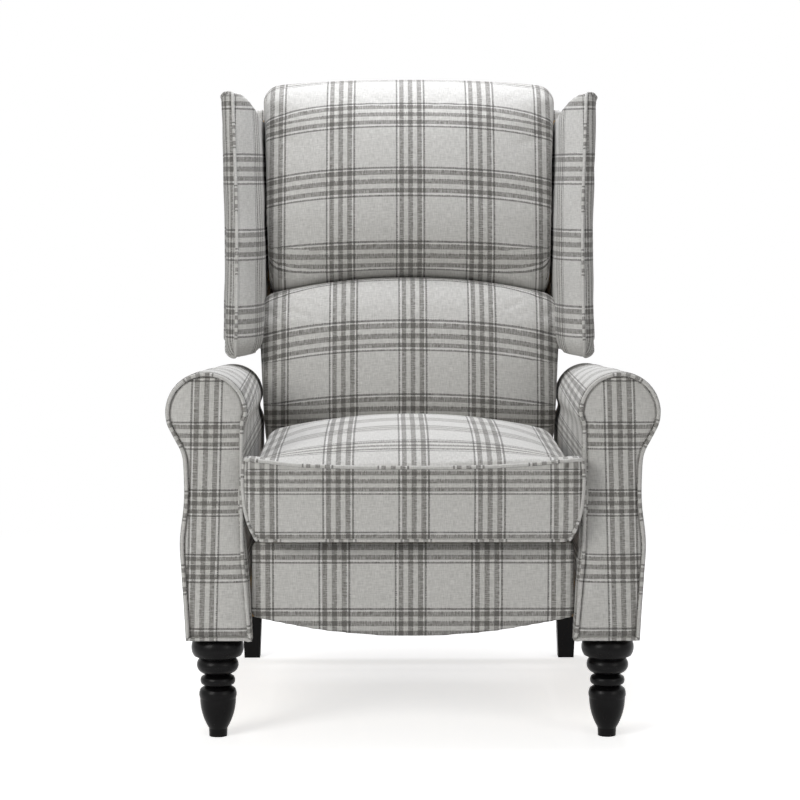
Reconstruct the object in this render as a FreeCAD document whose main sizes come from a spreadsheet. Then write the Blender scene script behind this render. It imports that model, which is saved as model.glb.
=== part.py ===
import FreeCAD, Part
import Sketcher
import math
import os

# Wingback recliner, in millimetres. X runs to the sitter's left, seen from the front to the
# right, the chair faces -Y and Z is up. The origin is on the floor, under the middle of the
# whole box. The left side is modelled at negative X, and the right side mirrors it.

DRIVING_SIZES = {
    # arms and their padding
    "arm_front": 400,
    "arm_rear": 250,
    "arm_low": 150,
    "facing_thick": 22,
    "facing_round": 7,
    "facing_in_low": 238,
    "facing_in_high": 249,
    "padding_in": 252,
    "roll_front_x": 303,
    "roll_front_z": 491,
    "roll_front_radius": 61,
    "roll_rear_x": 305,
    "roll_rear_z": 462,
    "roll_rear_radius": 50,
    "neck_drop": 86,
    "neck_x": 337,
    "waist_z": 358,
    "bulge_x": 343.5,
    "bulge_z": 300,
    "hem_x": 336,
    "skin": 3,
    # arm boxes and the rails that join them
    "panel_in": 256,
    "panel_thick": 20,
    "panel_high": 425,
    "floor_board_out": 328,
    "floor_board_thick": 20,
    "mount_rail_in": 240,
    "mount_rail_low": 160,
    "mount_rail_high": 212,
    "mount_rail_front": 245,
    "mount_rail_rear": 190,
    "back_rail_front": 226,
    "back_rail_thick": 22,
    "back_rail_tall": 65,
    "tube_front": 150,
    "tube_side": 25,
    "tube_wall": 2,
    "tube_low": 170,
    # legs
    "front_leg_x": 292,
    "front_leg_y": 355,
    "rear_leg_x": 274,
    "rear_leg_y": 230,
    "rear_leg_side": 35,
    "rear_leg_foot": 27,
    "bolt_radius": 4,
    "bolt_low": 105,
    "bolt_high": 168,
    # mechanism plates and links
    "plate_thick": 3,
    "layer_pitch": 4,
    "base_layer": 237,
    "base_plate_low": 165,
    "base_plate_high": 206,
    "base_plate_front": 235,
    "base_plate_rear": 182,
    "bar_half": 11,
    "boss_radius": 12,
    "pivot_radius": 5,
    "pin_radius": 4,
    "running_gap": 0.06,
    "open_gap": 0.9,
    "screw_radius": 2.5,
    "screw_depth": 17,
    # swing links that carry the seat
    "swing_length": 70,
    "swing_angle": 120,
    "swing_low": 185,
    "front_swing_y": 200,
    "rear_swing_y": 60,
    # seat frame
    "seat_plate_low": 222,
    "seat_plate_high": 293,
    "seat_plate_front": 182,
    "seat_flange_in": 205,
    "rail_low": 293,
    "front_rail_low": 302,
    "rail_high": 338,
    "rail_in": 205,
    "rail_out": 229,
    "rail_thick": 22,
    "seat_frame_front": 374,
    "seat_frame_rear": 118,
    "wire_radius": 2,
    "spring_reach": 22,
    "spring_pitch": 80,
    # footrest linkage, angles up from forward
    "drive_forward": 85.24,
    "drive_height": 233.75,
    "drive_length": 172.55,
    "drive_angle": 201,
    "guide_forward": 90.28,
    "guide_height": 275.17,
    "guide_length": 154.74,
    "guide_angle": 197.71,
    "carry_length": 399.56,
    "carry_angle": 7.78,
    "carry_ear": 59.5,
    "carry_ear_turn": 64.24,
    "drive_ear": 33.82,
    "drive_ear_turn": -65.25,
    "steer_length": 340.8,
    "steer_angle": 11.03,
    "bracket_length": 92.54,
    "bracket_angle": 157.56,
    "cross_tube_along": 80,
    "cross_tube_radius": 8,
    # footrest
    "footrest_half": 236,
    "footrest_top": 297,
    "footrest_side_low": 186,
    "footrest_mid_low": 156,
    "footrest_back": 345,
    "footrest_board": 15,
    "footrest_pad": 25,
    "footrest_round": 7,
    "tab_low": 196,
    "tab_high": 258,
    "tab_reach": 32,
    # seat cushion
    "seat_half": 237,
    "seat_half_low": 231,
    "seat_seam": 419,
    "seat_crown": 468,
    "seat_crown_front": 432,
    "seat_crown_rear": 452,
    "seat_under": 346,
    "seat_front": 402,
    "seat_rear": 74,
    "apron_rear": 378,
    "apron_low": 303,
    "lip_half": 251,
    "lip_front": 432,
    "lip_gap": 2,
    # back, leaning, measured up its rear face from its foot
    "back_lean": 16,
    "back_foot_y": 230,
    "back_foot_z": 300,
    "recline_y": 170,
    "recline_z": 290,
    "post_in": 195,
    "post_out": 225,
    "post_rear": 8,
    "post_front": 40,
    "post_low": -45,
    "post_high": 690,
    "rail_tall": 50,
    "band_width": 45,
    "band_thick": 2,
    "cover_thick": 4,
    "cover_half_low": 238,
    "cover_low": -30,
    "cushion_rear": 46,
    "cushion_half": 247,
    "lumbar_low": 40,
    "cushion_split": 355,
    "cushion_top": 704,
    "wing_rear": 6,
    "wing_front": 222,
    "wing_out_rear": 330,
    "wing_out_front": 311,
    "wing_in": 255,
    "wing_top_rear": 678,
    "wing_top_front": 652,
    "back_top": 726,
    "wing_low_front": 197,
    "wing_low_rear": 324,
    "wing_panel_in": 296,
    "wing_panel_thick": 10,
    # counterbalance springs
    "coil_radius": 7,
    "coil_x": 217,
    "coil_z": 331,
    "coil_rear_y": 181,
    "eye_radius": 2,
    "eye_length": 7,
}

LEG_PROFILE = (
    # height and radius of each turned ring, from the foot up; the third value is the radius of
    # the arc that swells out to that ring, and zero is a straight cut
    (0, 13.5, 0),
    (12, 14, 0),
    (58, 27, 90),
    (72, 26, 16),
    (77, 19, 0),
    (80, 24.5, 0),
    (90, 24.5, 9),
    (94, 18, 0),
    (97, 24, 0),
    (116, 29, 13),
    (119, 27, 0),
    (123, 35.5, 0),
    (146, 36.5, 22),
    (150, 34, 0),
)

doc = FreeCAD.newDocument("wingback_recliner")
sheet = doc.addObject("Spreadsheet::Sheet", "Sizes")
made = []


class Size:
    # A number, and the spreadsheet expression that gives it.
    def __init__(self, value, text=None):
        self.value = float(value)
        self.text = text or repr(float(value))

    def joined(self, other, sign, value):
        return Size(value, "(%s %s %s)" % (self.text, sign, other.text))

    def __add__(self, other):
        other = as_size(other)
        return self.joined(other, "+", self.value + other.value)

    def __sub__(self, other):
        other = as_size(other)
        return self.joined(other, "-", self.value - other.value)

    def __mul__(self, other):
        other = as_size(other)
        return self.joined(other, "*", self.value * other.value)

    def __truediv__(self, other):
        other = as_size(other)
        return self.joined(other, "/", self.value / other.value)

    def __neg__(self):
        return Size(-self.value, "(0 - %s)" % self.text)


def as_size(number):
    return number if isinstance(number, Size) else Size(number)


def sine(angle):
    return Size(math.sin(math.radians(angle.value)), "sin(%s * 1 deg)" % angle.text)


def cosine(angle):
    return Size(math.cos(math.radians(angle.value)), "cos(%s * 1 deg)" % angle.text)


class Dimensions:
    # The spreadsheet's aliases, read as sizes.
    pass


def fill_sheet():
    table = Dimensions()
    for row, (alias, number) in enumerate(DRIVING_SIZES.items(), start=1):
        sheet.set("A%d" % row, alias)
        sheet.set("B%d" % row, str(number))
        sheet.setAlias("B%d" % row, alias)
        setattr(table, alias, Size(number, "Sizes." + alias))
    doc.recompute()
    return table


dim = fill_sheet()


def bind(thing, path, size):
    thing.setExpression(path, as_size(size).text)


def keep(thing, name):
    # marks a finished sub-part and gives it its file's name
    thing.Label = name
    made.append(thing)
    return thing


def place(thing, base, turn=None):
    # sets a sub-part down at a point, turned by an angle about X
    thing.Placement = FreeCAD.Placement(
        FreeCAD.Vector(*[as_size(part).value for part in base]),
        FreeCAD.Rotation(FreeCAD.Vector(1, 0, 0), as_size(turn or 0).value))
    for letter, part in zip("xyz", base):
        bind(thing, "Placement.Base." + letter, part)
    if turn is not None:
        bind(thing, "Placement.Rotation.Angle", turn)
    return thing


def mirror(source, name):
    copy = doc.addObject("Part::Mirroring", name)
    copy.Source = source
    copy.Normal = (1, 0, 0)
    return keep(copy, name)


def pair(source, name):
    keep(source, "left_" + name)
    return mirror(source, "right_" + name)


def box(name, low, high):
    block = doc.addObject("Part::Box", name)
    for side, lower, upper in zip(("Length", "Width", "Height"), low, high):
        size = as_size(upper) - lower
        setattr(block, side, size.value)
        bind(block, side, size)
    return place(block, low)


def cylinder(name, radius, start, reach, along):
    # a round bar that starts at a point and reaches along X, Y or Z
    bar = doc.addObject("Part::Cylinder", name)
    bar.Radius = as_size(radius).value
    bar.Height = as_size(reach).value
    bind(bar, "Radius", radius)
    bind(bar, "Height", reach)
    turns = {"X": (FreeCAD.Vector(0, 1, 0), 90), "Y": (FreeCAD.Vector(1, 0, 0), -90),
             "Z": (FreeCAD.Vector(0, 0, 1), 0)}
    bar.Placement = FreeCAD.Placement(FreeCAD.Vector(), FreeCAD.Rotation(*turns[along]))
    for letter, part in zip("xyz", start):
        bind(bar, "Placement.Base." + letter, part)
    return bar


def group(name, pieces):
    # several identical solids kept as one sub-part
    joined = doc.addObject("Part::Compound", name)
    joined.Links = pieces
    return keep(joined, name)


def cut(name, base, tool):
    result = doc.addObject("Part::Cut", name)
    result.Base = base
    result.Tool = tool
    return result


def shape_part(name, shape):
    thing = doc.addObject("Part::Feature", name)
    thing.Shape = shape
    return thing


def new_body(name):
    return doc.addObject("PartDesign::Body", name)


def new_sketch(body, role):
    sketch = body.newObject("Sketcher::SketchObject", body.Name + "_sketch")
    plane = [item for item in body.Origin.OriginFeatures if item.Role == role][0]
    sketch.AttachmentSupport = [(plane, "")]
    sketch.MapMode = "FlatFace"
    return sketch


def pin_point(sketch, element, corner, point):
    # holds one point of a sketch at its bound distances from the origin
    for kind, size in zip(("DistanceX", "DistanceY"), point):
        size = as_size(size)
        rule = sketch.addConstraint(
            Sketcher.Constraint(kind, -1, 1, element, corner, size.value))
        sketch.setExpression("Constraints[%d]" % rule, size.text)


def flat(point):
    return FreeCAD.Vector(as_size(point[0]).value, as_size(point[1]).value, 0)


def bowed(first, last, radius):
    # the arc from first to last that bows to the right of the way it goes
    chord = last.sub(first)
    middle = first.add(last).multiply(0.5)
    half = chord.Length / 2
    rise = radius - math.sqrt(radius * radius - half * half)
    side = FreeCAD.Vector(chord.y, -chord.x, 0).normalize()
    return Part.Arc(first, middle.add(side.multiply(rise)), last)


def outline(body, role, points, arcs=None):
    # a closed sketch through the points; arcs gives the radius of the side after a point
    sketch = new_sketch(body, role)
    arcs = arcs or {}
    spots = [flat(point) for point in points]
    count = len(spots)
    ends = []
    for index in range(count):
        first = spots[index]
        last = spots[(index + 1) % count]
        if index in arcs:
            sketch.addGeometry(bowed(first, last, as_size(arcs[index]).value))
            swapped = sketch.Geometry[index].StartPoint.distanceToPoint(first) > 1e-6
            ends.append((2, 1) if swapped else (1, 2))
        else:
            sketch.addGeometry(Part.LineSegment(first, last))
            ends.append((1, 2))
    for index in range(count):
        after = (index + 1) % count
        sketch.addConstraint(Sketcher.Constraint(
            "Coincident", index, ends[index][1], after, ends[after][0]))
    for index, point in enumerate(points):
        pin_point(sketch, index, ends[index][0], point)
    for index, radius in arcs.items():
        rule = sketch.addConstraint(
            Sketcher.Constraint("Radius", index, as_size(radius).value))
        sketch.setExpression("Constraints[%d]" % rule, as_size(radius).text)
    return sketch


def circles(body, role, rings):
    sketch = new_sketch(body, role)
    for index, (across, up, radius) in enumerate(rings):
        radius = as_size(radius)
        centre = flat((across, up))
        sketch.addGeometry(Part.Circle(centre, FreeCAD.Vector(0, 0, 1), radius.value))
        pin_point(sketch, index, 3, (across, up))
        rule = sketch.addConstraint(Sketcher.Constraint("Radius", index, radius.value))
        sketch.setExpression("Constraints[%d]" % rule, radius.text)
    return sketch


def pad(body, sketch, length, backwards=False):
    feature = body.newObject("PartDesign::Pad", body.Name + "_pad")
    feature.Profile = sketch
    feature.Length = as_size(length).value
    feature.Reversed = backwards
    bind(feature, "Length", length)
    return feature


def drill(body, role, rings, depth):
    # round holes that start at the sketch plane and run the way a pad from it runs
    feature = body.newObject("PartDesign::Pocket", body.Name + "_holes")
    feature.Profile = circles(body, role, rings)
    feature.Length = as_size(depth).value
    feature.Reversed = True
    bind(feature, "Length", depth)
    return feature


def layer(number):
    # distance from the middle of the chair to the inner face of a layer of steel plates;
    # layer 0 is the fixed plate on the arm
    return dim.base_layer - dim.layer_pitch * number


def left_of(number):
    # where a left plate of that layer starts along X
    return -(layer(number) + dim.plate_thick)


def turned(number):
    # the turn about X of a bar whose angle is counted up from forward
    return Size(180) - number


def ahead(start, length, angle):
    # the point at a distance and angle from another; points are (forward, height)
    return (start[0] + length * cosine(angle), start[1] + length * sine(angle))


def bar_rectangle(length, half, turn=None):
    # corners of a bar from the origin, turned down from +Y by an angle
    corners = ((0, -1), (1, -1), (1, 1), (0, 1))
    turn = as_size(turn or 0)
    points = []
    for along, side in corners:
        reach = as_size(length) * along
        wide = as_size(half) * side
        points.append((reach * cosine(turn) + wide * sine(turn),
                       wide * cosine(turn) - reach * sine(turn)))
    return points


def link(name, length, start, angle, layer_number, holes, ear=None):
    # a flat steel bar from one pin to the next, with a boss and a hole at each pin;
    # ear adds a short arm: where it starts along the bar, its length and its turn
    body = new_body(name)
    pad(body, outline(body, "YZ_Plane", bar_rectangle(length, dim.bar_half)), dim.plate_thick)
    spots = [(Size(0), Size(0)), (as_size(length), Size(0))]
    if ear:
        along, reach, turn = ear
        arm = bar_rectangle(reach, dim.bar_half, turn)
        arm = [(point[0] + along, point[1]) for point in arm]
        pad(body, outline(body, "YZ_Plane", arm), dim.plate_thick)
        spots.append((reach * cosine(turn) + along, -(reach * sine(turn))))
    for spot in spots:
        pad(body, circles(body, "YZ_Plane", [spot + (dim.boss_radius,)]), dim.plate_thick)
    rings = [spot + (radius,) for spot, radius in zip(spots, holes)]
    drill(body, "YZ_Plane", rings, dim.plate_thick)
    place(body, (left_of(layer_number), -start[0], start[1]), turned(angle))
    return body


def pins(name, list_of_pins):
    # pins on both sides of the chair: (forward, height, radius, inner layer, outer layer)
    pieces = []
    for number, (forward, height, radius, inner, outer) in enumerate(list_of_pins):
        reach = layer(outer) + dim.plate_thick - layer(inner)
        starts = (-(layer(outer) + dim.plate_thick), layer(inner))
        for side, start in zip(("left", "right"), starts):
            label = "%s_%s_%d" % (name, side, number)
            pieces.append(cylinder(label, radius, (start, -forward, height), reach, "X"))
    return group(name, pieces)


def wire(points):
    # a closed wire; each entry is a point, or a via point and a point for an arc
    edges = []
    here = points[-1][-1]
    for entry in points:
        if len(entry) == 1:
            edges.append(Part.LineSegment(here, entry[0]).toShape())
        else:
            edges.append(Part.Arc(here, entry[0], entry[1]).toShape())
        here = entry[-1]
    return Part.Wire(edges)


def loft(sections, ruled=False):
    return Part.makeLoft(sections, True, ruled)


# Arms and the fixed base


def arm_section(forward, roll, inset):
    # the outline of an arm across the chair at one place along it
    roll_x, roll_z, radius, low_in, high_in = roll
    radius = radius - inset
    lean = math.radians(28)

    def at(across, up):
        return FreeCAD.Vector(-across, -forward, up)

    def rim(degrees):
        turn = math.radians(degrees)
        return at(roll_x + radius * math.cos(turn), roll_z + radius * math.sin(turn))

    neck_z = roll_z - dim.neck_drop.value
    neck_x = dim.neck_x.value - inset
    low = dim.arm_low.value + inset
    hem = dim.hem_x.value - inset
    bulge = dim.bulge_x.value - inset
    waist = at(neck_x, dim.waist_z.value)
    hip = at(bulge - 2, dim.bulge_z.value - 50)
    return wire([
        (at(low_in + inset, low),),
        (at(high_in + inset, dim.bulge_z.value),),
        (at(roll_x - radius * math.cos(lean), roll_z - radius * math.sin(lean)),),
        (rim(150), rim(90)),
        (rim(45), rim(0)),
        (rim(-22), rim(-44)),
        (at(neck_x + 1.5, neck_z + 20), at(neck_x, neck_z)),
        (waist,),
        (at(bulge, dim.bulge_z.value), hip),
        (at(hem, low),),
    ])


def front_roll(skin=0):
    return (dim.roll_front_x.value, dim.roll_front_z.value, dim.roll_front_radius.value - skin)


def arm_panel():
    # the wooden arm box: an upright panel, a floor board and the rail that takes the plates
    body = new_body("left_arm_panel")
    front = -(dim.arm_front - dim.facing_thick)
    upright = ((front, dim.arm_low), (dim.arm_rear, dim.arm_low),
               (dim.arm_rear, dim.panel_high - 20), (front, dim.panel_high))
    pad(body, outline(body, "YZ_Plane", upright), dim.panel_thick)
    board = ((front, dim.arm_low), (dim.arm_rear, dim.arm_low),
             (dim.arm_rear, dim.arm_low + dim.floor_board_thick),
             (front, dim.arm_low + dim.floor_board_thick))
    width = dim.floor_board_out - dim.panel_in - dim.panel_thick
    pad(body, outline(body, "YZ_Plane", board), width, backwards=True)
    rail = ((-dim.mount_rail_front, dim.mount_rail_low),
            (dim.mount_rail_rear, dim.mount_rail_low),
            (dim.mount_rail_rear, dim.mount_rail_high),
            (-dim.mount_rail_front, dim.mount_rail_high))
    pad(body, outline(body, "YZ_Plane", rail),
        dim.panel_thick + dim.panel_in - dim.mount_rail_in)
    place(body, (-(dim.panel_in + dim.panel_thick), 0, 0))
    pair(body, "arm_panel")
    return body


def arm_upholstery(panel, rail):
    start = dim.arm_front.value - dim.facing_thick.value
    inner = dim.padding_in.value
    skin = dim.skin.value
    front = front_roll(skin) + (inner, inner)
    rear = (dim.roll_rear_x.value, dim.roll_rear_z.value, dim.roll_rear_radius.value,
            inner, inner)
    full = loft([arm_section(start, front, 0), arm_section(-dim.arm_rear.value, rear, 0)], True)
    around_panel = cut("arm_padding_around_panel", shape_part("arm_padding", full), panel)
    pair(cut("left_arm_upholstery", around_panel, rail), "arm_upholstery")


def arm_facing():
    # the padded front board of the arm, rounded at its front edge
    outer = front_roll() + (dim.facing_in_low.value, dim.facing_in_high.value)
    face = dim.arm_front.value
    edge = dim.facing_round.value
    places = ((face - dim.facing_thick.value, 0), (face - edge, 0), (face - 2, 2), (face, edge))
    sections = [arm_section(forward, outer, inset) for forward, inset in places]
    facing = shape_part("left_arm_facing", loft(sections, True))
    pair(facing, "arm_facing")


def base_rails():
    rear = box("base_rear_rail",
               (-dim.panel_in, dim.back_rail_front, dim.arm_low),
               (dim.panel_in, dim.back_rail_front + dim.back_rail_thick,
                dim.arm_low + dim.back_rail_tall))
    keep(rear, "base_rear_rail")
    half = dim.base_layer
    outer = box("tube_outside",
                (-half, dim.tube_front, dim.tube_low),
                (half, dim.tube_front + dim.tube_side, dim.tube_low + dim.tube_side))
    wall = dim.tube_wall
    inner = box("tube_inside",
                (-half, dim.tube_front + wall, dim.tube_low + wall),
                (half, dim.tube_front + dim.tube_side - wall,
                 dim.tube_low + dim.tube_side - wall))
    keep(cut("base_cross_tube", outer, inner), "base_cross_tube")
    return rear


def front_leg():
    # a turned leg: a revolved outline with swelling rings
    body = new_body("front_left_leg")
    points = [(0, LEG_PROFILE[0][0])]
    arcs = {}
    for height, radius, swell in LEG_PROFILE:
        if swell:
            arcs[len(points) - 1] = swell
        points.append((radius, height))
    points.append((0, LEG_PROFILE[-1][0]))
    sketch = outline(body, "XZ_Plane", points, arcs)
    turning = body.newObject("PartDesign::Revolution", "front_leg_turning")
    turning.Profile = sketch
    turning.ReferenceAxis = (sketch, ["V_Axis"])
    turning.Angle = 360
    place(body, (-dim.front_leg_x, -dim.front_leg_y, 0))
    keep(body, "front_left_leg")
    mirror(body, "front_right_leg")


def rear_leg():
    # a square leg that tapers a little to its foot
    y = dim.rear_leg_y.value
    x = -dim.rear_leg_x.value
    sections = []
    for side, height in ((dim.rear_leg_foot.value, 0), (dim.rear_leg_side.value, 90),
                         (dim.rear_leg_side.value, dim.arm_low.value)):
        half = side / 2
        corners = ((x - half, y - half), (x + half, y - half),
                   (x + half, y + half), (x - half, y + half))
        sections.append(wire([(FreeCAD.Vector(across, along, height),)
                              for across, along in corners]))
    keep(shape_part("rear_left_leg", loft(sections, True)), "rear_left_leg")
    mirror(doc.getObject("rear_left_leg"), "rear_right_leg")


def leg_spots():
    spots = []
    for x, y in ((dim.front_leg_x, -dim.front_leg_y), (dim.rear_leg_x, dim.rear_leg_y)):
        for side in (-1, 1):
            spots.append((x * side, y))
    return spots


def leg_bolts():
    bolts = []
    for number, (x, y) in enumerate(leg_spots()):
        bolts.append(cylinder("leg_bolt_%d" % number, dim.bolt_radius,
                              (x, y, dim.bolt_low), dim.bolt_high - dim.bolt_low, "Z"))
    group("leg_bolts", bolts)


def base_plate():
    body = new_body("left_base_plate")
    strip = ((-dim.base_plate_front, dim.base_plate_low), (dim.base_plate_rear, dim.base_plate_low),
             (dim.base_plate_rear, dim.base_plate_high),
             (-dim.base_plate_front, dim.base_plate_high))
    pad(body, outline(body, "YZ_Plane", strip), dim.plate_thick)
    rings = [(dim.rear_swing_y, dim.swing_low, dim.pivot_radius),
             (-dim.front_swing_y, dim.swing_low, dim.pivot_radius)]
    rings += [(y, dim.swing_low, dim.screw_radius) for y in screw_places()]
    drill(body, "YZ_Plane", rings, dim.plate_thick)
    place(body, (left_of(0), 0, 0))
    pair(body, "base_plate")


def screw_places():
    return (-140, -30, 120)


def base_fasteners():
    screws = []
    for number, y in enumerate(screw_places()):
        for side, start in (("left", -(dim.base_layer + dim.screw_depth)),
                            ("right", dim.base_layer)):
            screws.append(cylinder("screw_%s_%d" % (side, number), dim.screw_radius,
                                   (start, y, dim.swing_low), dim.screw_depth, "X"))
    group("base_plate_screws", screws)
    pins("base_pivot_pins", [(-dim.rear_swing_y, dim.swing_low, dim.pivot_radius, 1, 0),
                             (dim.front_swing_y, dim.swing_low, dim.pivot_radius, 1, 0)])


# Swing links between the base and the seat


def swing_base(place_y):
    return (-place_y, dim.swing_low)


def swing_links():
    running = dim.pivot_radius + dim.running_gap
    opened = dim.pivot_radius + dim.open_gap / 3
    for name, y, top in (("rear", dim.rear_swing_y, running),
                         ("front", -dim.front_swing_y, opened)):
        bar = link("left_%s_swing_link" % name, dim.swing_length, swing_base(y),
                   dim.swing_angle, 1, (running, top))
        pair(bar, "%s_swing_link" % name)


# Seat


def seat_plate():
    # the moving side plate, with a flange under the seat rail and an ear for the back
    body = new_body("left_seat_plate")
    ear = dim.pivot_radius * 3
    top = dim.seat_plate_high
    web = ((-dim.seat_plate_front, dim.seat_plate_low), (112, dim.seat_plate_low),
           (138, 262), (dim.recline_y + ear, dim.recline_z - ear),
           (dim.recline_y + ear, dim.recline_z + ear),
           (dim.recline_y - ear, dim.recline_z + ear), (120, top), (-dim.seat_plate_front, top))
    pad(body, outline(body, "YZ_Plane", web), dim.plate_thick)
    flange = ((-dim.seat_plate_front, top - dim.plate_thick), (112, top - dim.plate_thick),
              (112, top), (-dim.seat_plate_front, top))
    width = layer(2) + dim.plate_thick - dim.seat_flange_in
    pad(body, outline(body, "YZ_Plane", flange), width)
    rings = [(-forward, height, radius) for forward, height, radius, _, _ in seat_pins()]
    drill(body, "YZ_Plane", rings, dim.plate_thick)
    place(body, (left_of(2), 0, 0))
    pair(body, "seat_plate")


def seat_pins():
    rear_top = ahead(swing_base(dim.rear_swing_y), dim.swing_length, dim.swing_angle)
    front_top = ahead(swing_base(-dim.front_swing_y), dim.swing_length, dim.swing_angle)
    return [
        rear_top + (dim.pivot_radius, 2, 1),
        front_top + (dim.pivot_radius, 2, 1),
        (dim.drive_forward, dim.drive_height, dim.pin_radius, 3, 2),
        (dim.guide_forward, dim.guide_height, dim.pin_radius, 4, 2),
        (-dim.recline_y, dim.recline_z, dim.pivot_radius, 3, 2),
    ]


def seat_frame():
    front = -dim.seat_frame_front
    rear = dim.seat_frame_rear
    sides = []
    for number, (low, high) in enumerate(((-dim.rail_out, -dim.rail_in),
                                          (dim.rail_in, dim.rail_out))):
        sides.append(box("side_rail_%d" % number, (low, front + dim.rail_thick, dim.rail_low),
                         (high, rear, dim.rail_high)))
    group("seat_side_rails", sides)
    keep(box("seat_front_rail", (-dim.rail_out, front, dim.front_rail_low),
             (dim.rail_out, front + dim.rail_thick, dim.rail_high)), "seat_front_rail")
    keep(box("seat_rear_rail", (-dim.rail_in, rear - dim.rail_thick, dim.rail_low),
             (dim.rail_in, rear, dim.rail_high)), "seat_rear_rail")


def sinuous_wire(x, start, finish, height, loops):
    # a flat zigzag spring: straight runs across, joined by half turns
    pitch = (finish - start) / loops
    turn = pitch / 2
    reach = dim.spring_reach.value - turn
    edges = []
    side = 1
    y = start
    tail = Part.LineSegment(FreeCAD.Vector(x, start, height),
                            FreeCAD.Vector(x + reach, start, height))
    edges.append(tail.toShape())
    for number in range(loops):
        here = FreeCAD.Vector(x + side * reach, y, height)
        tip = FreeCAD.Vector(x + side * (reach + turn), y + turn, height)
        there = FreeCAD.Vector(x + side * reach, y + pitch, height)
        edges.append(Part.Arc(here, tip, there).toShape())
        last = number == loops - 1
        end = FreeCAD.Vector(x if last else x - side * reach, y + pitch, height)
        edges.append(Part.LineSegment(there, end).toShape())
        side = -side
        y += pitch
    return Part.Wire(edges)


def seat_springs():
    start = -dim.seat_frame_front.value + dim.rail_thick.value / 2
    finish = dim.seat_frame_rear.value - dim.rail_thick.value / 2
    height = dim.rail_high.value + dim.wire_radius.value
    springs = []
    for number in range(-2, 3):
        x = number * dim.spring_pitch.value
        path = sinuous_wire(x, start, finish, height, 12)
        circle = Part.makeCircle(dim.wire_radius.value, FreeCAD.Vector(x, start, height),
                                 FreeCAD.Vector(1, 0, 0))
        springs.append(path.makePipeShell([Part.Wire([circle])], True, False))
    keep(shape_part("seat_springs", Part.makeCompound(springs)), "seat_springs")


def seat_section(forward, half, low_half, low, seam, crown):
    # the seat cushion across the chair: flat below, drawn-in sides and a crowned top
    def at(across, up):
        return FreeCAD.Vector(across, -forward, up)

    middle = (low + seam) / 2
    bulge = half + 3
    return wire([
        (at(low_half, low),),
        (at(bulge, middle), at(half, seam)),
        (at(0, crown), at(-half, seam)),
        (at(-bulge, middle), at(-low_half, low)),
    ])


def seat_cushion():
    half = dim.seat_half.value
    low_half = dim.seat_half_low.value
    under = dim.seat_under.value
    seam = dim.seat_seam.value
    front = dim.seat_front.value
    stations = ((-dim.seat_rear.value, seam - 6, dim.seat_crown_rear.value),
                (60, seam, dim.seat_crown.value),
                (240, seam, dim.seat_crown.value - 1),
                (front, seam, dim.seat_crown_front.value))
    main = loft([seat_section(forward, half - 3, low_half, under, rim, crown)
                 for forward, rim, crown in stations])
    low = dim.apron_low.value
    apron = loft([seat_section(forward, half - 3, low_half, low, seam, seam + 1)
                  for forward in (dim.apron_rear.value, front)], True)
    lip_half = dim.lip_half.value
    lip_rear = dim.arm_front.value + dim.lip_gap.value
    lip = loft([seat_section(forward, lip_half - inset, low_half - inset, low + inset,
                             seam + 2 - inset, seam + 5 - inset)
                for forward, inset in ((lip_rear, 0), (dim.lip_front.value - 8, 0),
                                       (dim.lip_front.value - 2, 3),
                                       (dim.lip_front.value, 8))], True)
    whole = main.multiFuse([apron, lip]).removeSplitter()
    keep(shape_part("seat_cushion", whole), "seat_cushion")


# Footrest linkage


def linkage_points():
    drive = (dim.drive_forward, dim.drive_height)
    guide = (dim.guide_forward, dim.guide_height)
    elbow = ahead(drive, dim.drive_length, dim.drive_angle)
    knee = ahead(elbow, dim.carry_length, dim.carry_angle)
    steer = ahead(elbow, dim.drive_ear, dim.drive_angle + dim.drive_ear_turn)
    tail = ahead(elbow, dim.carry_ear, dim.carry_angle + dim.carry_ear_turn)
    hinge = ahead(knee, dim.bracket_length, dim.bracket_angle)
    return {"drive": drive, "guide": guide, "elbow": elbow, "knee": knee, "steer": steer,
            "tail": tail, "hinge": hinge}


def footrest_links():
    spots = linkage_points()
    running = dim.pin_radius + dim.running_gap
    tight = dim.pin_radius
    opened = dim.pin_radius + dim.open_gap
    drive = link("left_front_ottoman_link", dim.drive_length, spots["drive"], dim.drive_angle,
                 3, (running, tight, tight),
                 (dim.drive_length, dim.drive_ear, dim.drive_ear_turn))
    pair(drive, "front_ottoman_link")
    guide = link("left_rear_ottoman_link", dim.guide_length, spots["guide"], dim.guide_angle,
                 4, (running, opened))
    pair(guide, "rear_ottoman_link")
    carry = link("left_outer_ottoman_link", dim.carry_length, spots["elbow"], dim.carry_angle,
                 5, (running, tight, tight), (Size(0), dim.carry_ear, dim.carry_ear_turn))
    pair(carry, "outer_ottoman_link")
    steer = link("left_inner_ottoman_link", dim.steer_length, spots["steer"], dim.steer_angle,
                 6, (running, opened))
    pair(steer, "inner_ottoman_link")
    pins("front_link_pins", [spots["elbow"] + (dim.pin_radius, 5, 3),
                             spots["steer"] + (dim.pin_radius, 6, 3)])
    pins("outer_link_pins", [spots["tail"] + (dim.pin_radius, 5, 4),
                             spots["knee"] + (dim.pin_radius, 7, 5)])
    pins("footrest_pins", [spots["hinge"] + (dim.pin_radius, 7, 6)])
    half = layer(6)
    across = ahead(spots["steer"], dim.cross_tube_along, dim.steer_angle)
    keep(cylinder("ottoman_cross_tube", dim.cross_tube_radius,
                  (-half, -across[0], across[1]), half * 2, "X"), "ottoman_cross_tube")


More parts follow.
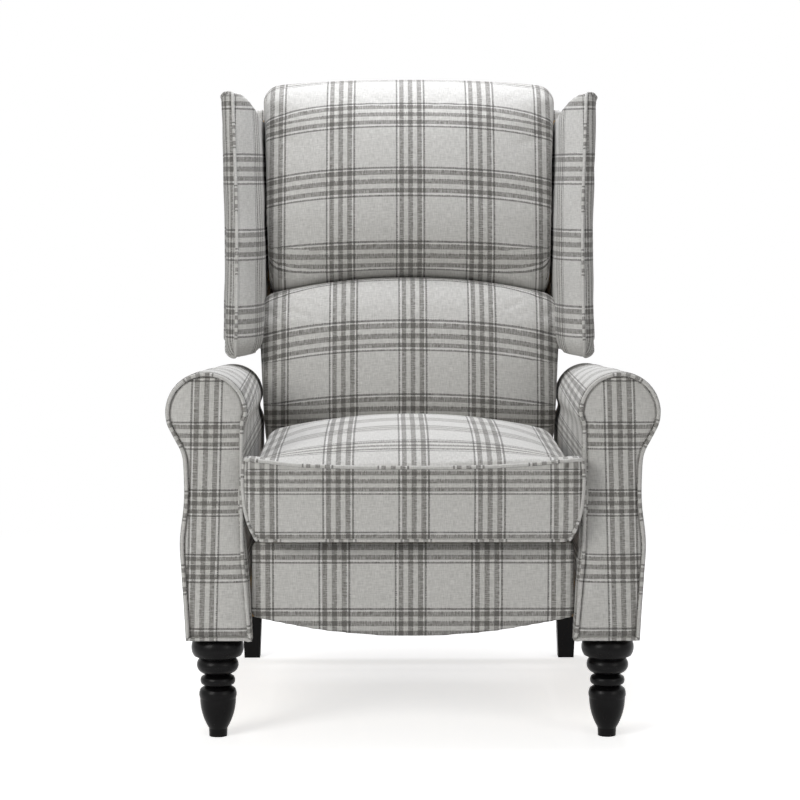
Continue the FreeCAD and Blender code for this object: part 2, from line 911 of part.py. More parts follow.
def footrest_bracket():
    # carries the footrest board: a bar between its two pins, a tab and a screwed flange
    spots = linkage_points()
    knee = spots["knee"]
    body = new_body("left_footrest_bracket")
    turn = Size(180) - dim.bracket_angle
    bar = bar_rectangle(dim.bracket_length, dim.bar_half, -turn)
    pad(body, outline(body, "YZ_Plane", bar), dim.plate_thick)
    hinge = (-(hinge_offset(0, spots)), hinge_offset(1, spots))
    for spot in ((Size(0), Size(0)), hinge):
        pad(body, circles(body, "YZ_Plane", [spot + (dim.boss_radius,)]), dim.plate_thick)
    reach = -(dim.footrest_back - knee[0])
    low = dim.tab_low - knee[1]
    high = dim.tab_high - knee[1]
    tab = ((reach, low), (0, low), (0, high), (reach, high))
    pad(body, outline(body, "YZ_Plane", tab), dim.plate_thick)
    flange = ((reach, low), (reach + dim.plate_thick, low),
              (reach + dim.plate_thick, high), (reach, high))
    pad(body, outline(body, "YZ_Plane", flange), dim.tab_reach)
    rings = [(Size(0), Size(0), dim.pin_radius + dim.running_gap), hinge + (dim.pin_radius,)]
    drill(body, "YZ_Plane", rings, dim.plate_thick)
    place(body, (left_of(7), -knee[0], knee[1]))
    pair(body, "footrest_bracket")


def hinge_offset(axis, spots):
    return spots["hinge"][axis] - spots["knee"][axis]


def scalloped(body, half, top, side_low, mid_low):
    # a board with a straight top and a bottom edge that hangs lower in the middle
    hang = (side_low - mid_low).value
    radius = (half.value ** 2 + hang ** 2) / (2 * hang)
    points = ((-half, side_low), (half, side_low), (half, top), (-half, top))
    return outline(body, "XZ_Plane", points, {0: radius})


def footrest():
    inset = 5
    board = new_body("footrest_board")
    pad(board, scalloped(board, dim.footrest_half - inset, dim.footrest_top - inset,
                         dim.footrest_side_low + inset, dim.footrest_mid_low + inset),
        dim.footrest_board)
    place(board, (0, -dim.footrest_back, 0))
    keep(board, "footrest_board")
    padding = new_body("footrest_pad")
    block = pad(padding, scalloped(padding, dim.footrest_half, dim.footrest_top,
                                   dim.footrest_side_low, dim.footrest_mid_low),
                dim.footrest_pad)
    place(padding, (0, -(dim.footrest_back + dim.footrest_board), 0))
    doc.recompute()
    round_front(padding, block, dim.footrest_round)
    keep(padding, "footrest_pad")


def round_front(body, feature, radius):
    # rounds the face that looks forward and the four corners behind it
    front = min(edge.BoundBox.YMin for edge in feature.Shape.Edges)
    names = ["Edge%d" % (number + 1) for number, edge in enumerate(feature.Shape.Edges)
             if edge.BoundBox.YMin < front + 0.01]
    soft = body.newObject("PartDesign::Fillet", body.Name + "_round")
    soft.Base = (feature, names)
    soft.Radius = radius.value
    bind(soft, "Radius", radius)


# Back


def lean_back(thing, x=0):
    # sets a piece that is drawn upright on the foot of the leaning back
    return place(thing, (x, dim.back_foot_y, dim.back_foot_z), -dim.back_lean)


def on_back(y, z):
    # a point of the chair, as (depth, height) on the upright drawing of the back
    across = as_size(y) - dim.back_foot_y
    up = as_size(z) - dim.back_foot_z
    depth = across * cosine(dim.back_lean) - up * sine(dim.back_lean)
    height = across * sine(dim.back_lean) + up * cosine(dim.back_lean)
    return depth, height


def leaning_box(name, low, high):
    # a block of the back, drawn upright and pushed to the foot of the back
    body = new_body(name)
    points = ((low[1], low[2]), (high[1], low[2]), (high[1], high[2]), (low[1], high[2]))
    pad(body, outline(body, "YZ_Plane", points), as_size(high[0]) - low[0])
    return lean_back(body, low[0])


def back_frame():
    rear = -dim.post_rear
    front = -dim.post_front
    post = leaning_box("left_back_post", (-dim.post_out, front, dim.post_low),
                       (-dim.post_in, rear, dim.post_high))
    pair(post, "back_post")
    half = dim.post_in
    for name, low in (("back_top_rail", dim.post_high - dim.rail_tall),
                      ("back_bottom_rail", Size(10))):
        keep(leaning_box(name, (-half, front, low), (half, rear, low + dim.rail_tall)), name)


def back_bracket():
    # a steel plate on the outer face of the post, reaching forward to the recline pivot
    body = new_body("left_back_bracket")
    pivot = on_back(dim.recline_y, dim.recline_z)
    lug = on_back(dim.coil_rear_y + dim.pin_radius, dim.coil_z)
    half = dim.pivot_radius * 3
    rear = -dim.post_rear - 4
    points = ((pivot[0] - 10, pivot[1] - 10), (pivot[0], pivot[1] - half),
              (rear, pivot[1] - half), (rear, 110), (rear - 20, 110),
              (-dim.post_front - 3, 36), (lug[0] - 6, lug[1] + 12))
    pad(body, outline(body, "YZ_Plane", points), dim.plate_thick)
    pad(body, circles(body, "YZ_Plane", [pivot + (half,)]), dim.plate_thick)
    stud = layer(3) + dim.plate_thick - dim.coil_x + dim.coil_radius
    pad(body, circles(body, "YZ_Plane", [lug + (dim.pin_radius - 1,)]), stud)
    drill(body, "YZ_Plane", [pivot + (dim.pivot_radius + dim.running_gap,)], dim.plate_thick)
    lean_back(body, left_of(3))
    pair(body, "back_bracket")


def back_webbing():
    # elastic bands across the posts, behind the cushions
    front = -dim.post_front
    bands = []
    for number in range(7):
        low = Size(90) + Size(80) * number
        bands.append(leaning_box("band_%d" % number,
                                 (-(dim.post_out - 4), front - dim.band_thick, low),
                                 (dim.post_out - 4, front, low + dim.band_width)))
    group("back_webbing", bands)


def cushion_section(height, half, side, front):
    # a back cushion across the chair: flat behind, drawn-in sides and a crowned front
    rear = -dim.cushion_rear.value

    def at(across, deep):
        return FreeCAD.Vector(across, deep, height)

    middle = (rear + side) / 2
    return wire([
        (at(half - 6, rear),),
        (at(half, middle), at(half - 7, side)),
        (at(0, front), at(-half + 7, side)),
        (at(-half, middle), at(-half + 6, rear)),
    ])


def back_cushions():
    half = dim.cushion_half.value
    split = dim.cushion_split.value
    low = dim.lumbar_low.value
    top = dim.cushion_top.value
    lumbar = ((low, half - 14, -100, -124), (low + 45, half - 2, -142, -172),
              (low + 140, half, -148, -180), (split - 45, half - 1, -144, -172),
              (split - 1, half - 8, -116, -136))
    upper = ((split + 1, half - 8, -114, -134), (split + 48, half - 2, -142, -168),
             (split + 180, half, -146, -172), (top - 48, half + 2, -138, -162),
             (top, half, -92, -104))
    head = loft([cushion_section(*section) for section in upper]).fuse(head_roll())
    for name, shape in (("lumbar_cushion", loft([cushion_section(*section)
                                                 for section in lumbar])),
                        ("upper_back_cushion", head.removeSplitter())):
        keep(lean_back(shape_part(name, shape)), name)


def head_roll():
    # the padding that wraps over the top rail to the rear of the back
    half = dim.cushion_half.value - 3
    low = dim.post_high.value + 1
    top = dim.cushion_top.value
    rear = -dim.cover_thick.value - 1

    def at(deep, height):
        return FreeCAD.Vector(-half, deep, height)

    return extruded([
        (at(rear, low),),
        (at(rear, dim.back_top.value - 6),),
        (at(-60, top + 14), at(-100, top - 8)),
        (at(-96, low),),
    ], FreeCAD.Vector(2 * half, 0, 0))


def extruded(points, direction):
    return Part.Face(wire(points)).extrude(direction)


def wing_frame():
    # a plywood wing with two blocks that join it to the post
    body = new_body("left_wing_frame")
    rear = -dim.wing_rear - 4
    front = -dim.wing_front + 17
    panel = ((rear, dim.wing_low_rear + 16), (front + 12, dim.wing_low_front + 18),
             (front, dim.wing_low_front + 30), (front, dim.wing_top_front - 36),
             (front + 12, dim.wing_top_front - 14), (rear, dim.wing_top_rear - 16))
    pad(body, outline(body, "YZ_Plane", panel), dim.wing_panel_thick)
    for low in (360, 590):
        block = ((-dim.post_front, low), (-dim.post_rear, low), (-dim.post_rear, low + 60),
                 (-dim.post_front, low + 60))
        pad(body, outline(body, "YZ_Plane", block),
            dim.wing_panel_in + dim.wing_panel_thick - dim.post_out)
    lean_back(body, -(dim.wing_panel_in + dim.wing_panel_thick))
    pair(body, "wing_frame")
    return body


def wing_upholstery(frame):
    # the padded wing: a wedge across the chair, cut to its side outline
    rear = -dim.wing_rear.value
    front = -dim.wing_front.value
    inner = dim.wing_in.value

    def across(x, y):
        return FreeCAD.Vector(-x, y, dim.wing_low_front.value - 60)

    def side(y, z):
        return FreeCAD.Vector(-400, y, z)

    out_front = dim.wing_out_front.value
    wedge = extruded([
        (across(inner, rear),),
        (across(dim.wing_out_rear.value, rear),),
        (across(out_front, front + 20),),
        (across(out_front - 3, front + 5), across(out_front - 12, front)),
        (across(out_front - 20, front + 5), across(out_front - 23, front + 20)),
        (across(inner + 9, front + 84), across(inner, front + 145)),
    ], FreeCAD.Vector(0, 0, 800))
    low_front = dim.wing_low_front.value
    top_front = dim.wing_top_front.value
    profile = extruded([
        (side(rear, dim.wing_low_rear.value),),
        (side(rear, dim.wing_top_rear.value),),
        (side(front + 34, top_front),),
        (side(front + 10, top_front - 8), side(front, top_front - 30)),
        (side(front, low_front + 22),),
        (side(front + 7, low_front + 6), side(front + 24, low_front)),
    ], FreeCAD.Vector(400, 0, 0))
    solid = lean_back(shape_part("wing_padding", wedge.common(profile)))
    padding = cut("left_wing_upholstery", solid, frame)
    pair(padding, "wing_upholstery")


def outside_cover():
    # the fabric-covered board that closes the rear of the back
    body = new_body("outside_back_cover")
    wide = dim.wing_out_rear
    narrow = dim.cover_half_low
    shoulder = dim.wing_low_rear
    ears = dim.wing_top_rear
    points = ((-narrow, dim.cover_low), (narrow, dim.cover_low), (narrow, shoulder),
              (wide, shoulder), (wide, ears), (narrow, ears), (narrow, dim.back_top),
              (-narrow, dim.back_top), (-narrow, ears), (-wide, ears), (-wide, shoulder),
              (-narrow, shoulder))
    pad(body, outline(body, "XZ_Plane", points), dim.cover_thick)
    lean_back(body)
    keep(body, "outside_back_cover")


def return_springs():
    # counterbalance springs from the seat rails to the back brackets, as plain closed solids
    start = dim.seat_frame_rear.value
    length = dim.coil_rear_y.value - start
    eye = dim.eye_radius.value
    reach = dim.eye_length.value
    radius = dim.coil_radius.value
    profile = ((0, 0), (eye, 0), (eye, reach), (radius, reach), (radius, length - reach),
               (eye, length - reach), (eye, length), (0, length))
    springs = []
    for side in (-1, 1):
        x = side * dim.coil_x.value
        points = [(FreeCAD.Vector(x + across, start + along, dim.coil_z.value),)
                  for across, along in profile]
        springs.append(Part.Face(wire(points)).revolve(
            FreeCAD.Vector(x, start, dim.coil_z.value), FreeCAD.Vector(0, 1, 0), 360))
    keep(shape_part("return_springs", Part.makeCompound(springs)), "return_springs")


def build():
    arm_upholstery(arm_panel(), base_rails())
    arm_facing()
    front_leg()
    rear_leg()
    leg_bolts()
    base_plate()
    base_fasteners()
    swing_links()
    seat_plate()
    pins("seat_pivot_pins", seat_pins())
    seat_frame()
    seat_springs()
    seat_cushion()
    footrest_links()
    footrest_bracket()
    footrest()
    back_frame()
    back_bracket()
    back_webbing()
    back_cushions()
    wing_upholstery(wing_frame())
    outside_cover()
    return_springs()
    doc.recompute()


def check():
    for thing in doc.Objects:
        if "Invalid" in thing.State or "Error" in thing.State:
            raise RuntimeError("failed: %s %s" % (thing.Name, thing.State))
    for thing in made:
        if thing.Shape.isNull() or not thing.Shape.isValid() or not thing.Shape.Solids:
            raise RuntimeError("bad shape: " + thing.Label)


def write():
    os.makedirs("parts", exist_ok=True)
    for thing in made:
        thing.Shape.exportStep("parts/%s.step" % thing.Label)
    print("wrote", len(made), "sub-parts")


build()
check()
write()
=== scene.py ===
import math

import bmesh
import bpy
import numpy as np
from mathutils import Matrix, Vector, noise
from mathutils.bvhtree import BVHTree


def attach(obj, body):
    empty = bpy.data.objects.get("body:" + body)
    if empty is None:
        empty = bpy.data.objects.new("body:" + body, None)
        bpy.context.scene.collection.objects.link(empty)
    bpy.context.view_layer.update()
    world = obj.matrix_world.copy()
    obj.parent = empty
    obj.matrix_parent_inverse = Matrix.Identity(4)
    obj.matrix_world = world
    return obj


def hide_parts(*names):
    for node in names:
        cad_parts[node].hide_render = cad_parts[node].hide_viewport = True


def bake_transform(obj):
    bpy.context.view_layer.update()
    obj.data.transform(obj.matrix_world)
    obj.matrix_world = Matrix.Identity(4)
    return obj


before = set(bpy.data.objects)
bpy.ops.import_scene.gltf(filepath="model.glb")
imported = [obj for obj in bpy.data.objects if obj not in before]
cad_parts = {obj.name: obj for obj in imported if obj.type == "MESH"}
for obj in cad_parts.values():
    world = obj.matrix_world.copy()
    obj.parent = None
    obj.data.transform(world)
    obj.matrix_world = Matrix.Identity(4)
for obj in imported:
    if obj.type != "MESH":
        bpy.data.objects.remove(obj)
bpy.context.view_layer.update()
scene = bpy.context.scene
mm = 0.001  # every size below is in millimetres, and a mesh turns it to metres
print("frame loaded")

# Camera and light

camera = {
    "place": (-37, -3800, 831),
    "down": 5.39,  # degrees below level
    "right": 0.3,
    "lens": 105,
    "sensor": 36,
}
lamps = {
    # name: place, size across, watts, colour
    "overhead": ((0, 350, 2500), 1600, 53, "#fafbff"),
    "frontLeft": ((-1900, -2300, 1500), 1400, 36, "#fffefb"),
    "frontRight": ((2100, -2500, 1300), 1400, 13, "#fffcf7"),
}
worldLevel = 0.12
floorSizes = {"radius": 4000, "fadeFrom": 900, "fadeTo": 1900, "lift": 0.68}


def linear(code):
    channels = [int(code[i:i + 2], 16) / 255 for i in (1, 3, 5)]
    return [c / 12.92 if c <= 0.04045 else ((c + 0.055) / 1.055) ** 2.4 for c in channels] + [1]


def addNode(tree, kind, wires=None, **settings):
    node = tree.nodes.new("ShaderNode" + kind)
    for key, value in settings.items():
        setattr(node, key, value)
    for socket, value in (wires or {}).items():
        if isinstance(value, bpy.types.Node):
            value = value.outputs[0]
        if isinstance(value, bpy.types.NodeSocket):
            tree.links.new(value, node.inputs[socket])
        else:
            node.inputs[socket].default_value = value
    return node


def makeCamera():
    data = bpy.data.cameras.new("camera")
    data.lens = camera["lens"]
    data.sensor_width = camera["sensor"]
    holder = bpy.data.objects.new("camera", data)
    holder.location = Vector(camera["place"]) * mm
    holder.rotation_euler = (math.radians(90 - camera["down"]), 0, -math.radians(camera["right"]))
    scene.collection.objects.link(holder)
    scene.camera = holder


def makeLamps():
    for name, (place, across, watts, colour) in lamps.items():
        data = bpy.data.lights.new(name, "AREA")
        data.shape = "DISK"
        data.size = across * mm
        data.energy = watts
        data.color = linear(colour)[:3]
        lamp = bpy.data.objects.new(name, data)
        lamp.location = Vector(place) * mm
        aim = Vector((0, 0, 500)) * mm - lamp.location
        lamp.rotation_euler = aim.to_track_quat("-Z", "Y").to_euler()
        scene.collection.objects.link(lamp)


def seenRays(tree):
    # one for what the camera, a reflection or glass sees, and nought for light on the object
    rays = addNode(tree, "LightPath")
    direct = addNode(tree, "Math", {
        0: rays.outputs["Is Camera Ray"], 1: rays.outputs["Is Glossy Ray"]}, operation="MAXIMUM")
    return addNode(tree, "Math", {
        0: direct, 1: rays.outputs["Is Transmission Ray"]}, operation="MAXIMUM")


def makeWorld():
    world = bpy.data.worlds.new("studio")
    scene.world = world
    world.use_nodes = True
    tree = world.node_tree
    tree.nodes.clear()
    room = addNode(tree, "Background", {"Color": linear("#ffffff"), "Strength": worldLevel})
    white = addNode(tree, "Background", {"Color": linear("#ffffff"), "Strength": 1.0})
    mixed = addNode(tree, "MixShader", {0: seenRays(tree), 1: room, 2: white})
    addNode(tree, "OutputWorld", {"Surface": mixed})


def makeFloor():
    mesh = bpy.data.meshes.new("studioFloor")
    bm = bmesh.new()
    bmesh.ops.create_circle(bm, cap_ends=True, segments=96, radius=floorSizes["radius"] * mm)
    bm.to_mesh(mesh)
    bm.free()
    floor = bpy.data.objects.new("studioFloor", mesh)
    scene.collection.objects.link(floor)
    material = bpy.data.materials.new("studioPaper")  # matt white paper that fades to plain white
    material.use_nodes = True
    tree = material.node_tree
    tree.nodes.clear()
    place = addNode(tree, "TexCoord")
    reach = addNode(tree, "VectorMath", {0: place.outputs["Object"]}, operation="LENGTH")
    fade = addNode(tree, "MapRange", {
        "Value": reach.outputs["Value"],
        "From Min": floorSizes["fadeFrom"] * mm,
        "From Max": floorSizes["fadeTo"] * mm,
    }, interpolation_type="SMOOTHSTEP")
    paper = addNode(tree, "BsdfDiffuse", {"Color": linear("#f4f4f4")})
    glow = addNode(tree, "Emission", {"Color": linear("#ffffff"), "Strength": 1.0})
    lift = addNode(tree, "Emission", {"Color": linear("#ffffff"), "Strength": floorSizes["lift"]})
    near = addNode(tree, "AddShader", {0: paper, 1: lift})
    shown = addNode(tree, "MixShader", {0: fade, 1: near, 2: glow})
    mixed = addNode(tree, "MixShader", {0: seenRays(tree), 1: paper, 2: shown})
    addNode(tree, "OutputMaterial", {"Surface": mixed})
    mesh.materials.append(material)


scene.view_settings.view_transform = "Standard"
makeCamera()
makeLamps()
makeWorld()
makeFloor()
print("studio ready")

# Materials

plaid = {
    "repeat": 110,  # one repeat of the check, both ways
    "cloth": "#dedddb",
    "stripes": [  # width in mm and the tint that the stripe's threads leave, across one group
        (2.6, "#767472"), (2.8, "#ffffff"), (7.0, "#8e8c89"), (7.0, "#eeeeec"),
        (7.2, "#8e8c89"), (7.0, "#eeeeec"), (7.0, "#8e8c89"), (2.4, "#ffffff"),
        (2.8, "#767472"),
    ],
    "ground": "#efefee",
    "thread": 1.9,  # real threads are about 0.9 mm apart, drawn coarser so that they show
    "slubLong": 11,
    "slubAcross": 1.5,
    "stray": 1.6,
}


def newMaterial(name, sockets):
    # a Principled material with its uniform values
    material = bpy.data.materials.new(name)
    material.use_nodes = True
    tree = material.node_tree
    tree.nodes.clear()
    shader = addNode(tree, "BsdfPrincipled", sockets)
    addNode(tree, "OutputMaterial", {"Surface": shader})
    return material, tree, shader


def finish(tree, shader, height, strength, distance, **links):
    # the bump, and the links to the shader's own sockets
    bump = addNode(tree, "Bump", {"Height": height, "Strength": strength,
                                  "Distance": distance * mm})
    tree.links.new(bump.outputs[0], shader.inputs["Normal"])
    for socket, value in links.items():
        tree.links.new(value.outputs[0], shader.inputs[socket.replace("_", " ")])


def stripeRamp(tree, along):
    # the tint of one set of threads, from where a thread lies across the repeat
    group = sum(width for width, tint in plaid["stripes"])
    turns = addNode(tree, "Math", {0: along, 1: 1 / (plaid["repeat"] * mm), 2: 0.5},
                    operation="MULTIPLY_ADD")
    node = addNode(tree, "ValToRGB", {0: addNode(tree, "Math", {0: turns}, operation="FRACT")})
    ramp = node.color_ramp
    ramp.interpolation = "CONSTANT"
    ramp.elements[0].position = 0
    ramp.elements[0].color = linear(plaid["ground"])
    place = 0.5 - group / 2 / plaid["repeat"]
    ramp.elements[1].position = place
    ramp.elements[1].color = linear(plaid["stripes"][0][1])
    for index, (width, tint) in enumerate(plaid["stripes"]):
        if index:
            ramp.elements.new(place).color = linear(tint)
        place += width / plaid["repeat"]
    ramp.elements.new(place).color = linear(plaid["ground"])
    return node


def slubs(tree, u, v, stretch, seed):
    # streaks of thicker and thinner thread, long one way and a thread wide the other
    across = addNode(tree, "Math", {0: u, 1: 1 / (stretch[0] * mm)}, operation="MULTIPLY")
    upward = addNode(tree, "Math", {0: v, 1: 1 / (stretch[1] * mm)}, operation="MULTIPLY")
    place = addNode(tree, "CombineXYZ", {0: across, 1: upward, 2: seed})
    return addNode(tree, "TexNoise", {
        "Vector": place, "Scale": 1.0, "Detail": 2.0, "Roughness": 0.6})


def strayed(tree, value, noiseNode):
    # a thread that wanders a little from its line
    stray = addNode(tree, "Math", {
        0: noiseNode, 1: plaid["stray"] * mm, 2: -plaid["stray"] * mm / 2},
        operation="MULTIPLY_ADD")
    return addNode(tree, "Math", {0: value, 1: stray}, operation="ADD")


def wovenPlaid():
    # polyester linen weave, yarn dyed: matt, a heathered check with slubs both ways
    material, tree, shader = newMaterial("plaidLinenWeave", {
        "Roughness": 0.93, "IOR": 1.45, "Specular IOR Level": 0.25,
        "Sheen Weight": 0.12, "Sheen Roughness": 0.5,
    })
    cloth = addNode(tree, "UVMap", uv_map="cloth")
    parts = addNode(tree, "SeparateXYZ", {0: cloth})
    u, v = parts.outputs[0], parts.outputs[1]
    long, thin = plaid["slubLong"], plaid["slubAcross"]
    weft = slubs(tree, u, v, (long, thin), 0.0)
    warp = slubs(tree, u, v, (thin, long), 7.0)
    across = stripeRamp(tree, strayed(tree, u, weft))
    upward = stripeRamp(tree, strayed(tree, v, warp))
    lead = addNode(tree, "Math", {0: warp, 1: weft}, operation="SUBTRACT")
    over = addNode(tree, "MapRange", {
        "Value": lead, "From Min": -0.22, "From Max": 0.22, "To Min": 0.45, "To Max": 1.0})
    under = addNode(tree, "Math", {0: 1.45, 1: over}, operation="SUBTRACT")
    both = addNode(tree, "Math", {0: weft, 1: warp}, operation="ADD")
    shade = addNode(tree, "MapRange", {
        "Value": both, "From Min": 0.7, "From Max": 1.3, "To Min": 0.80, "To Max": 1.12})
    tone = addNode(tree, "CombineColor", {0: shade, 1: shade, 2: shade})
    colour = addNode(tree, "Mix", {0: over, 6: linear(plaid["cloth"]), 7: across},
                     data_type="RGBA", blend_type="MULTIPLY")
    colour = addNode(tree, "Mix", {0: under, 6: colour.outputs[2], 7: upward},
                     data_type="RGBA", blend_type="MULTIPLY")
    colour = addNode(tree, "Mix", {0: 1.0, 6: colour.outputs[2], 7: tone},
                     data_type="RGBA", blend_type="MULTIPLY")
    tree.links.new(colour.outputs[2], shader.inputs["Base Color"])
    step = 2 * math.pi / (plaid["thread"] * mm)
    waves = []
    for value in (u, v):
        turn = addNode(tree, "Math", {0: value, 1: step}, operation="MULTIPLY")
        waves.append(addNode(tree, "Math", {0: turn}, operation="SINE"))
    grid = addNode(tree, "Math", {0: waves[0], 1: waves[1]}, operation="MULTIPLY")
    height = addNode(tree, "Math", {0: grid, 1: 0.25, 2: both.outputs[0]},
                     operation="MULTIPLY_ADD")
    finish(tree, shader, height, 0.5, 0.5)
    return material


def grained(tree, scale, detail, distortion):
    # noise drawn out along the grain; scale is in repeats per metre each way
    place = addNode(tree, "TexCoord").outputs["Object"]
    grain = addNode(tree, "Mapping", {"Vector": place, "Scale": scale})
    return addNode(tree, "TexNoise", {
        "Vector": grain, "Scale": 1.0, "Detail": detail, "Distortion": distortion})


def lacquer():
    # beech turned and sprayed with black satin lacquer: deep, with soft clear highlights
    material, tree, shader = newMaterial("blackSatinLacquer", {
        "Base Color": linear("#0b0a0b"), "IOR": 1.5, "Specular IOR Level": 0.12,
    })
    flow = grained(tree, (260, 260, 30), 4.0, 0.0)
    gloss = addNode(tree, "MapRange", {"Value": flow, "To Min": 0.2, "To Max": 0.42})
    finish(tree, shader, flow, 0.12, 0.2, Roughness=gloss)
    return material


def tinted(name, sockets, pattern, tones, roughness, bumpSize):
    # a finish whose colour and gloss wander with a pattern; pattern takes the node tree
    material, tree, shader = newMaterial(name, sockets)
    flow = pattern(tree)
    colour = addNode(tree, "ValToRGB", {0: flow})
    for element, place, tint in zip(colour.color_ramp.elements, (0.32, 0.68), tones):
        element.position = place
        element.color = linear(tint)
    gloss = addNode(tree, "MapRange", {
        "Value": flow, "To Min": roughness[0], "To Max": roughness[1]})
    finish(tree, shader, flow, 0.3, bumpSize, Roughness=gloss, Base_Color=colour)
    return material


def specks(size):
    # an even grain, size across in millimetres
    return lambda tree: grained(tree, (1 / (size * mm),) * 3, 5.0, 0.0)


def woodGrain(tree):
    return grained(tree, (160, 9, 160), 6.0, 0.6)


def ribs(tree):
    # the raised ribs that run along a woven band
    place = addNode(tree, "TexCoord").outputs["Object"]
    return addNode(tree, "TexWave", {
        "Vector": place, "Scale": 1 / (9 * mm), "Distortion": 0.4, "Detail": 2.0})


finishes = {
    "upholstery_fabric": wovenPlaid(),
    "black_lacquer": lacquer(),
    # sawn plywood and softwood, unfinished: pale and matt with darker growth lines
    "frame_wood": tinted("sawnPlywood", {"IOR": 1.5}, woodGrain, ("#a07b4e", "#d9bc8c"),
                         (0.6, 0.85), 0.3),
    # powder coat on pressed steel: dark, with a fine orange peel
    "mechanism_steel": tinted("powderCoatedSteel", {"IOR": 1.5}, specks(1.4),
                              ("#17171a", "#242428"), (0.38, 0.55), 0.15),
    # zinc plate: a bright blue grey with soft spangles
    "zinc_steel": tinted("zincPlatedSteel", {"Metallic": 1.0}, specks(3.0),
                         ("#a4a7aa", "#c9cbcd"), (0.25, 0.45), 0.05),
    # oiled spring wire: dark bare steel with a sheen
    "spring_steel": tinted("oiledSpringWire", {"Metallic": 1.0}, specks(2.0),
                           ("#4a4b4e", "#77797c"), (0.25, 0.4), 0.05),
    # woven elastic webbing: matt black rubber cored yarn with ribs along the band
    "elastic_webbing": tinted("elasticWebbing", {"IOR": 1.5}, ribs, ("#1b1b1d", "#3a3a3d"),
                              (0.75, 0.9), 0.4),
}
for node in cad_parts.values():
    name = node.data.materials[0].name.split(".")[0]
    node.data.materials.clear()
    node.data.materials.append(finishes[name])
print("finishes ready")

# Shaping

lean = {"angle": math.radians(16), "footY": 230, "footZ": 300}  # the back's rear face


def onBack(x, depth, rise):
    # a place on the leaning back: depth is negative towards the sitter, rise is up the lean
    c, s = math.cos(lean["angle"]), math.sin(lean["angle"])
    return (x, lean["footY"] + rise * s + depth * c, lean["footZ"] + rise * c - depth * s)


def backView(points):
    # the other way round, for many places at once: depth, rise and x
    c, s = math.cos(lean["angle"]), math.sin(lean["angle"])
    y, z = points[:, 1] - lean["footY"], points[:, 2] - lean["footZ"]
    return np.stack([y * c - z * s, y * s + z * c, points[:, 0]], axis=1)


def smoothed(points, steps=6, closed=False):
    # a soft line through the points given, with the same number of steps between each two
    line = np.array(points, float)
    count = len(line)
    made = []
    for index in range(count if closed else count - 1):
        if closed:
            near = [line[(index + k) % count] for k in (-1, 0, 1, 2)]
        else:
            near = [line[min(max(index + k, 0), count - 1)] for k in (-1, 0, 1, 2)]
        a, b, c, d = near
        for step in range(steps):
            t = step / steps
            made.append(0.5 * (2 * b + (c - a) * t + (2 * a - 5 * b + 4 * c - d) * t * t
                               + (3 * b - a - 3 * c + d) * t ** 3))
    if not closed:
        made.append(line[-1])
    return np.array(made)


def spaced(points, gap, closed=False):
    # the same line with its points about gap apart
    line = np.array(points, float)
    if closed:
        line = np.vstack([line, line[:1]])
    runs = np.linalg.norm(np.diff(line, axis=0), axis=1)
    along = np.concatenate([[0], np.cumsum(runs)])
    count = max(3, int(round(along[-1] / gap)))
    stops = np.linspace(0, along[-1], count + 1)
    if closed:
        stops = stops[:-1]
    return np.stack([np.interp(stops, along, line[:, k]) for k in range(line.shape[1])], axis=1)


def inset(outline, amount):
    # a closed outline drawn in by an amount, seen in its own plane
    before, after = np.roll(outline, 1, axis=0), np.roll(outline, -1, axis=0)
    run = after - before
    run /= np.linalg.norm(run, axis=1)[:, None]
    inward = np.stack([-run[:, 1], run[:, 0]], axis=1)
    area = np.sum(outline[:, 0] * after[:, 1] - after[:, 0] * outline[:, 1])
    return outline + inward * amount * (1 if area > 0 else -1)


def newPiece(name, points, faces, cloth=None):
    # cloth is where each corner of each face lies on the check
    mesh = bpy.data.meshes.new(name)
    mesh.from_pydata([tuple(c * mm for c in p) for p in points], [], faces)
    if cloth:
        layer = mesh.uv_layers.new(name="cloth")
        layer.data.foreach_set("uv", np.array(cloth, np.float32).ravel())
    bm = bmesh.new()
    bm.from_mesh(mesh)
    bmesh.ops.recalc_face_normals(bm, faces=bm.faces)
    bm.to_mesh(mesh)
    bm.free()
    mesh.shade_smooth()
    piece = bpy.data.objects.new(name, mesh)
    scene.collection.objects.link(piece)
    return piece


def loft(name, rings):
    # skins a row of rings with the same number of points and closes both ends flat
    count = len(rings[0])
    points = [p for ring in rings for p in ring]
    faces = []
    for first in range(0, (len(rings) - 1) * count, count):
        for k in range(count):
            n = (k + 1) % count
            faces.append((first + k, first + n, first + count + n, first + count + k))
    faces.append(tuple(range(count)))
    faces.append(tuple((len(rings) - 1) * count + k for k in range(count)))
    return newPiece(name, points, faces)


def settle(piece):
    # turns the modifiers into the piece's own mesh
    shown = piece.evaluated_get(bpy.context.evaluated_depsgraph_get())
    mesh = bpy.data.meshes.new_from_object(shown)
    piece.modifiers.clear()
    old = piece.data
    piece.data = mesh
    bpy.data.meshes.remove(old)
    mesh.name = piece.name
    mesh.shade_smooth()
    return piece


def changed(piece, kind, **settings):
    # one modifier, turned into the piece's own mesh
    change = piece.modifiers.new(kind.lower(), kind)
    for key, value in settings.items():
        setattr(change, key, value)
    return settle(piece)


def remeshed(piece, voxel):
    return changed(piece, "REMESH", mode="VOXEL", voxel_size=voxel * mm)


def relaxed(piece, factor, rounds):
    return changed(piece, "SMOOTH", factor=factor, iterations=rounds)


def finer(piece):
    return changed(piece, "SUBSURF", levels=1, render_levels=1)


def joined(name, pieces):
    bm = bmesh.new()
    for piece in pieces:
        bm.from_mesh(piece.data)
        bpy.data.objects.remove(piece)
    mesh = bpy.data.meshes.new(name)
    bm.to_mesh(mesh)
    bm.free()
    mesh.shade_smooth()
    whole = bpy.data.objects.new(name, mesh)
    scene.collection.objects.link(whole)
    return whole


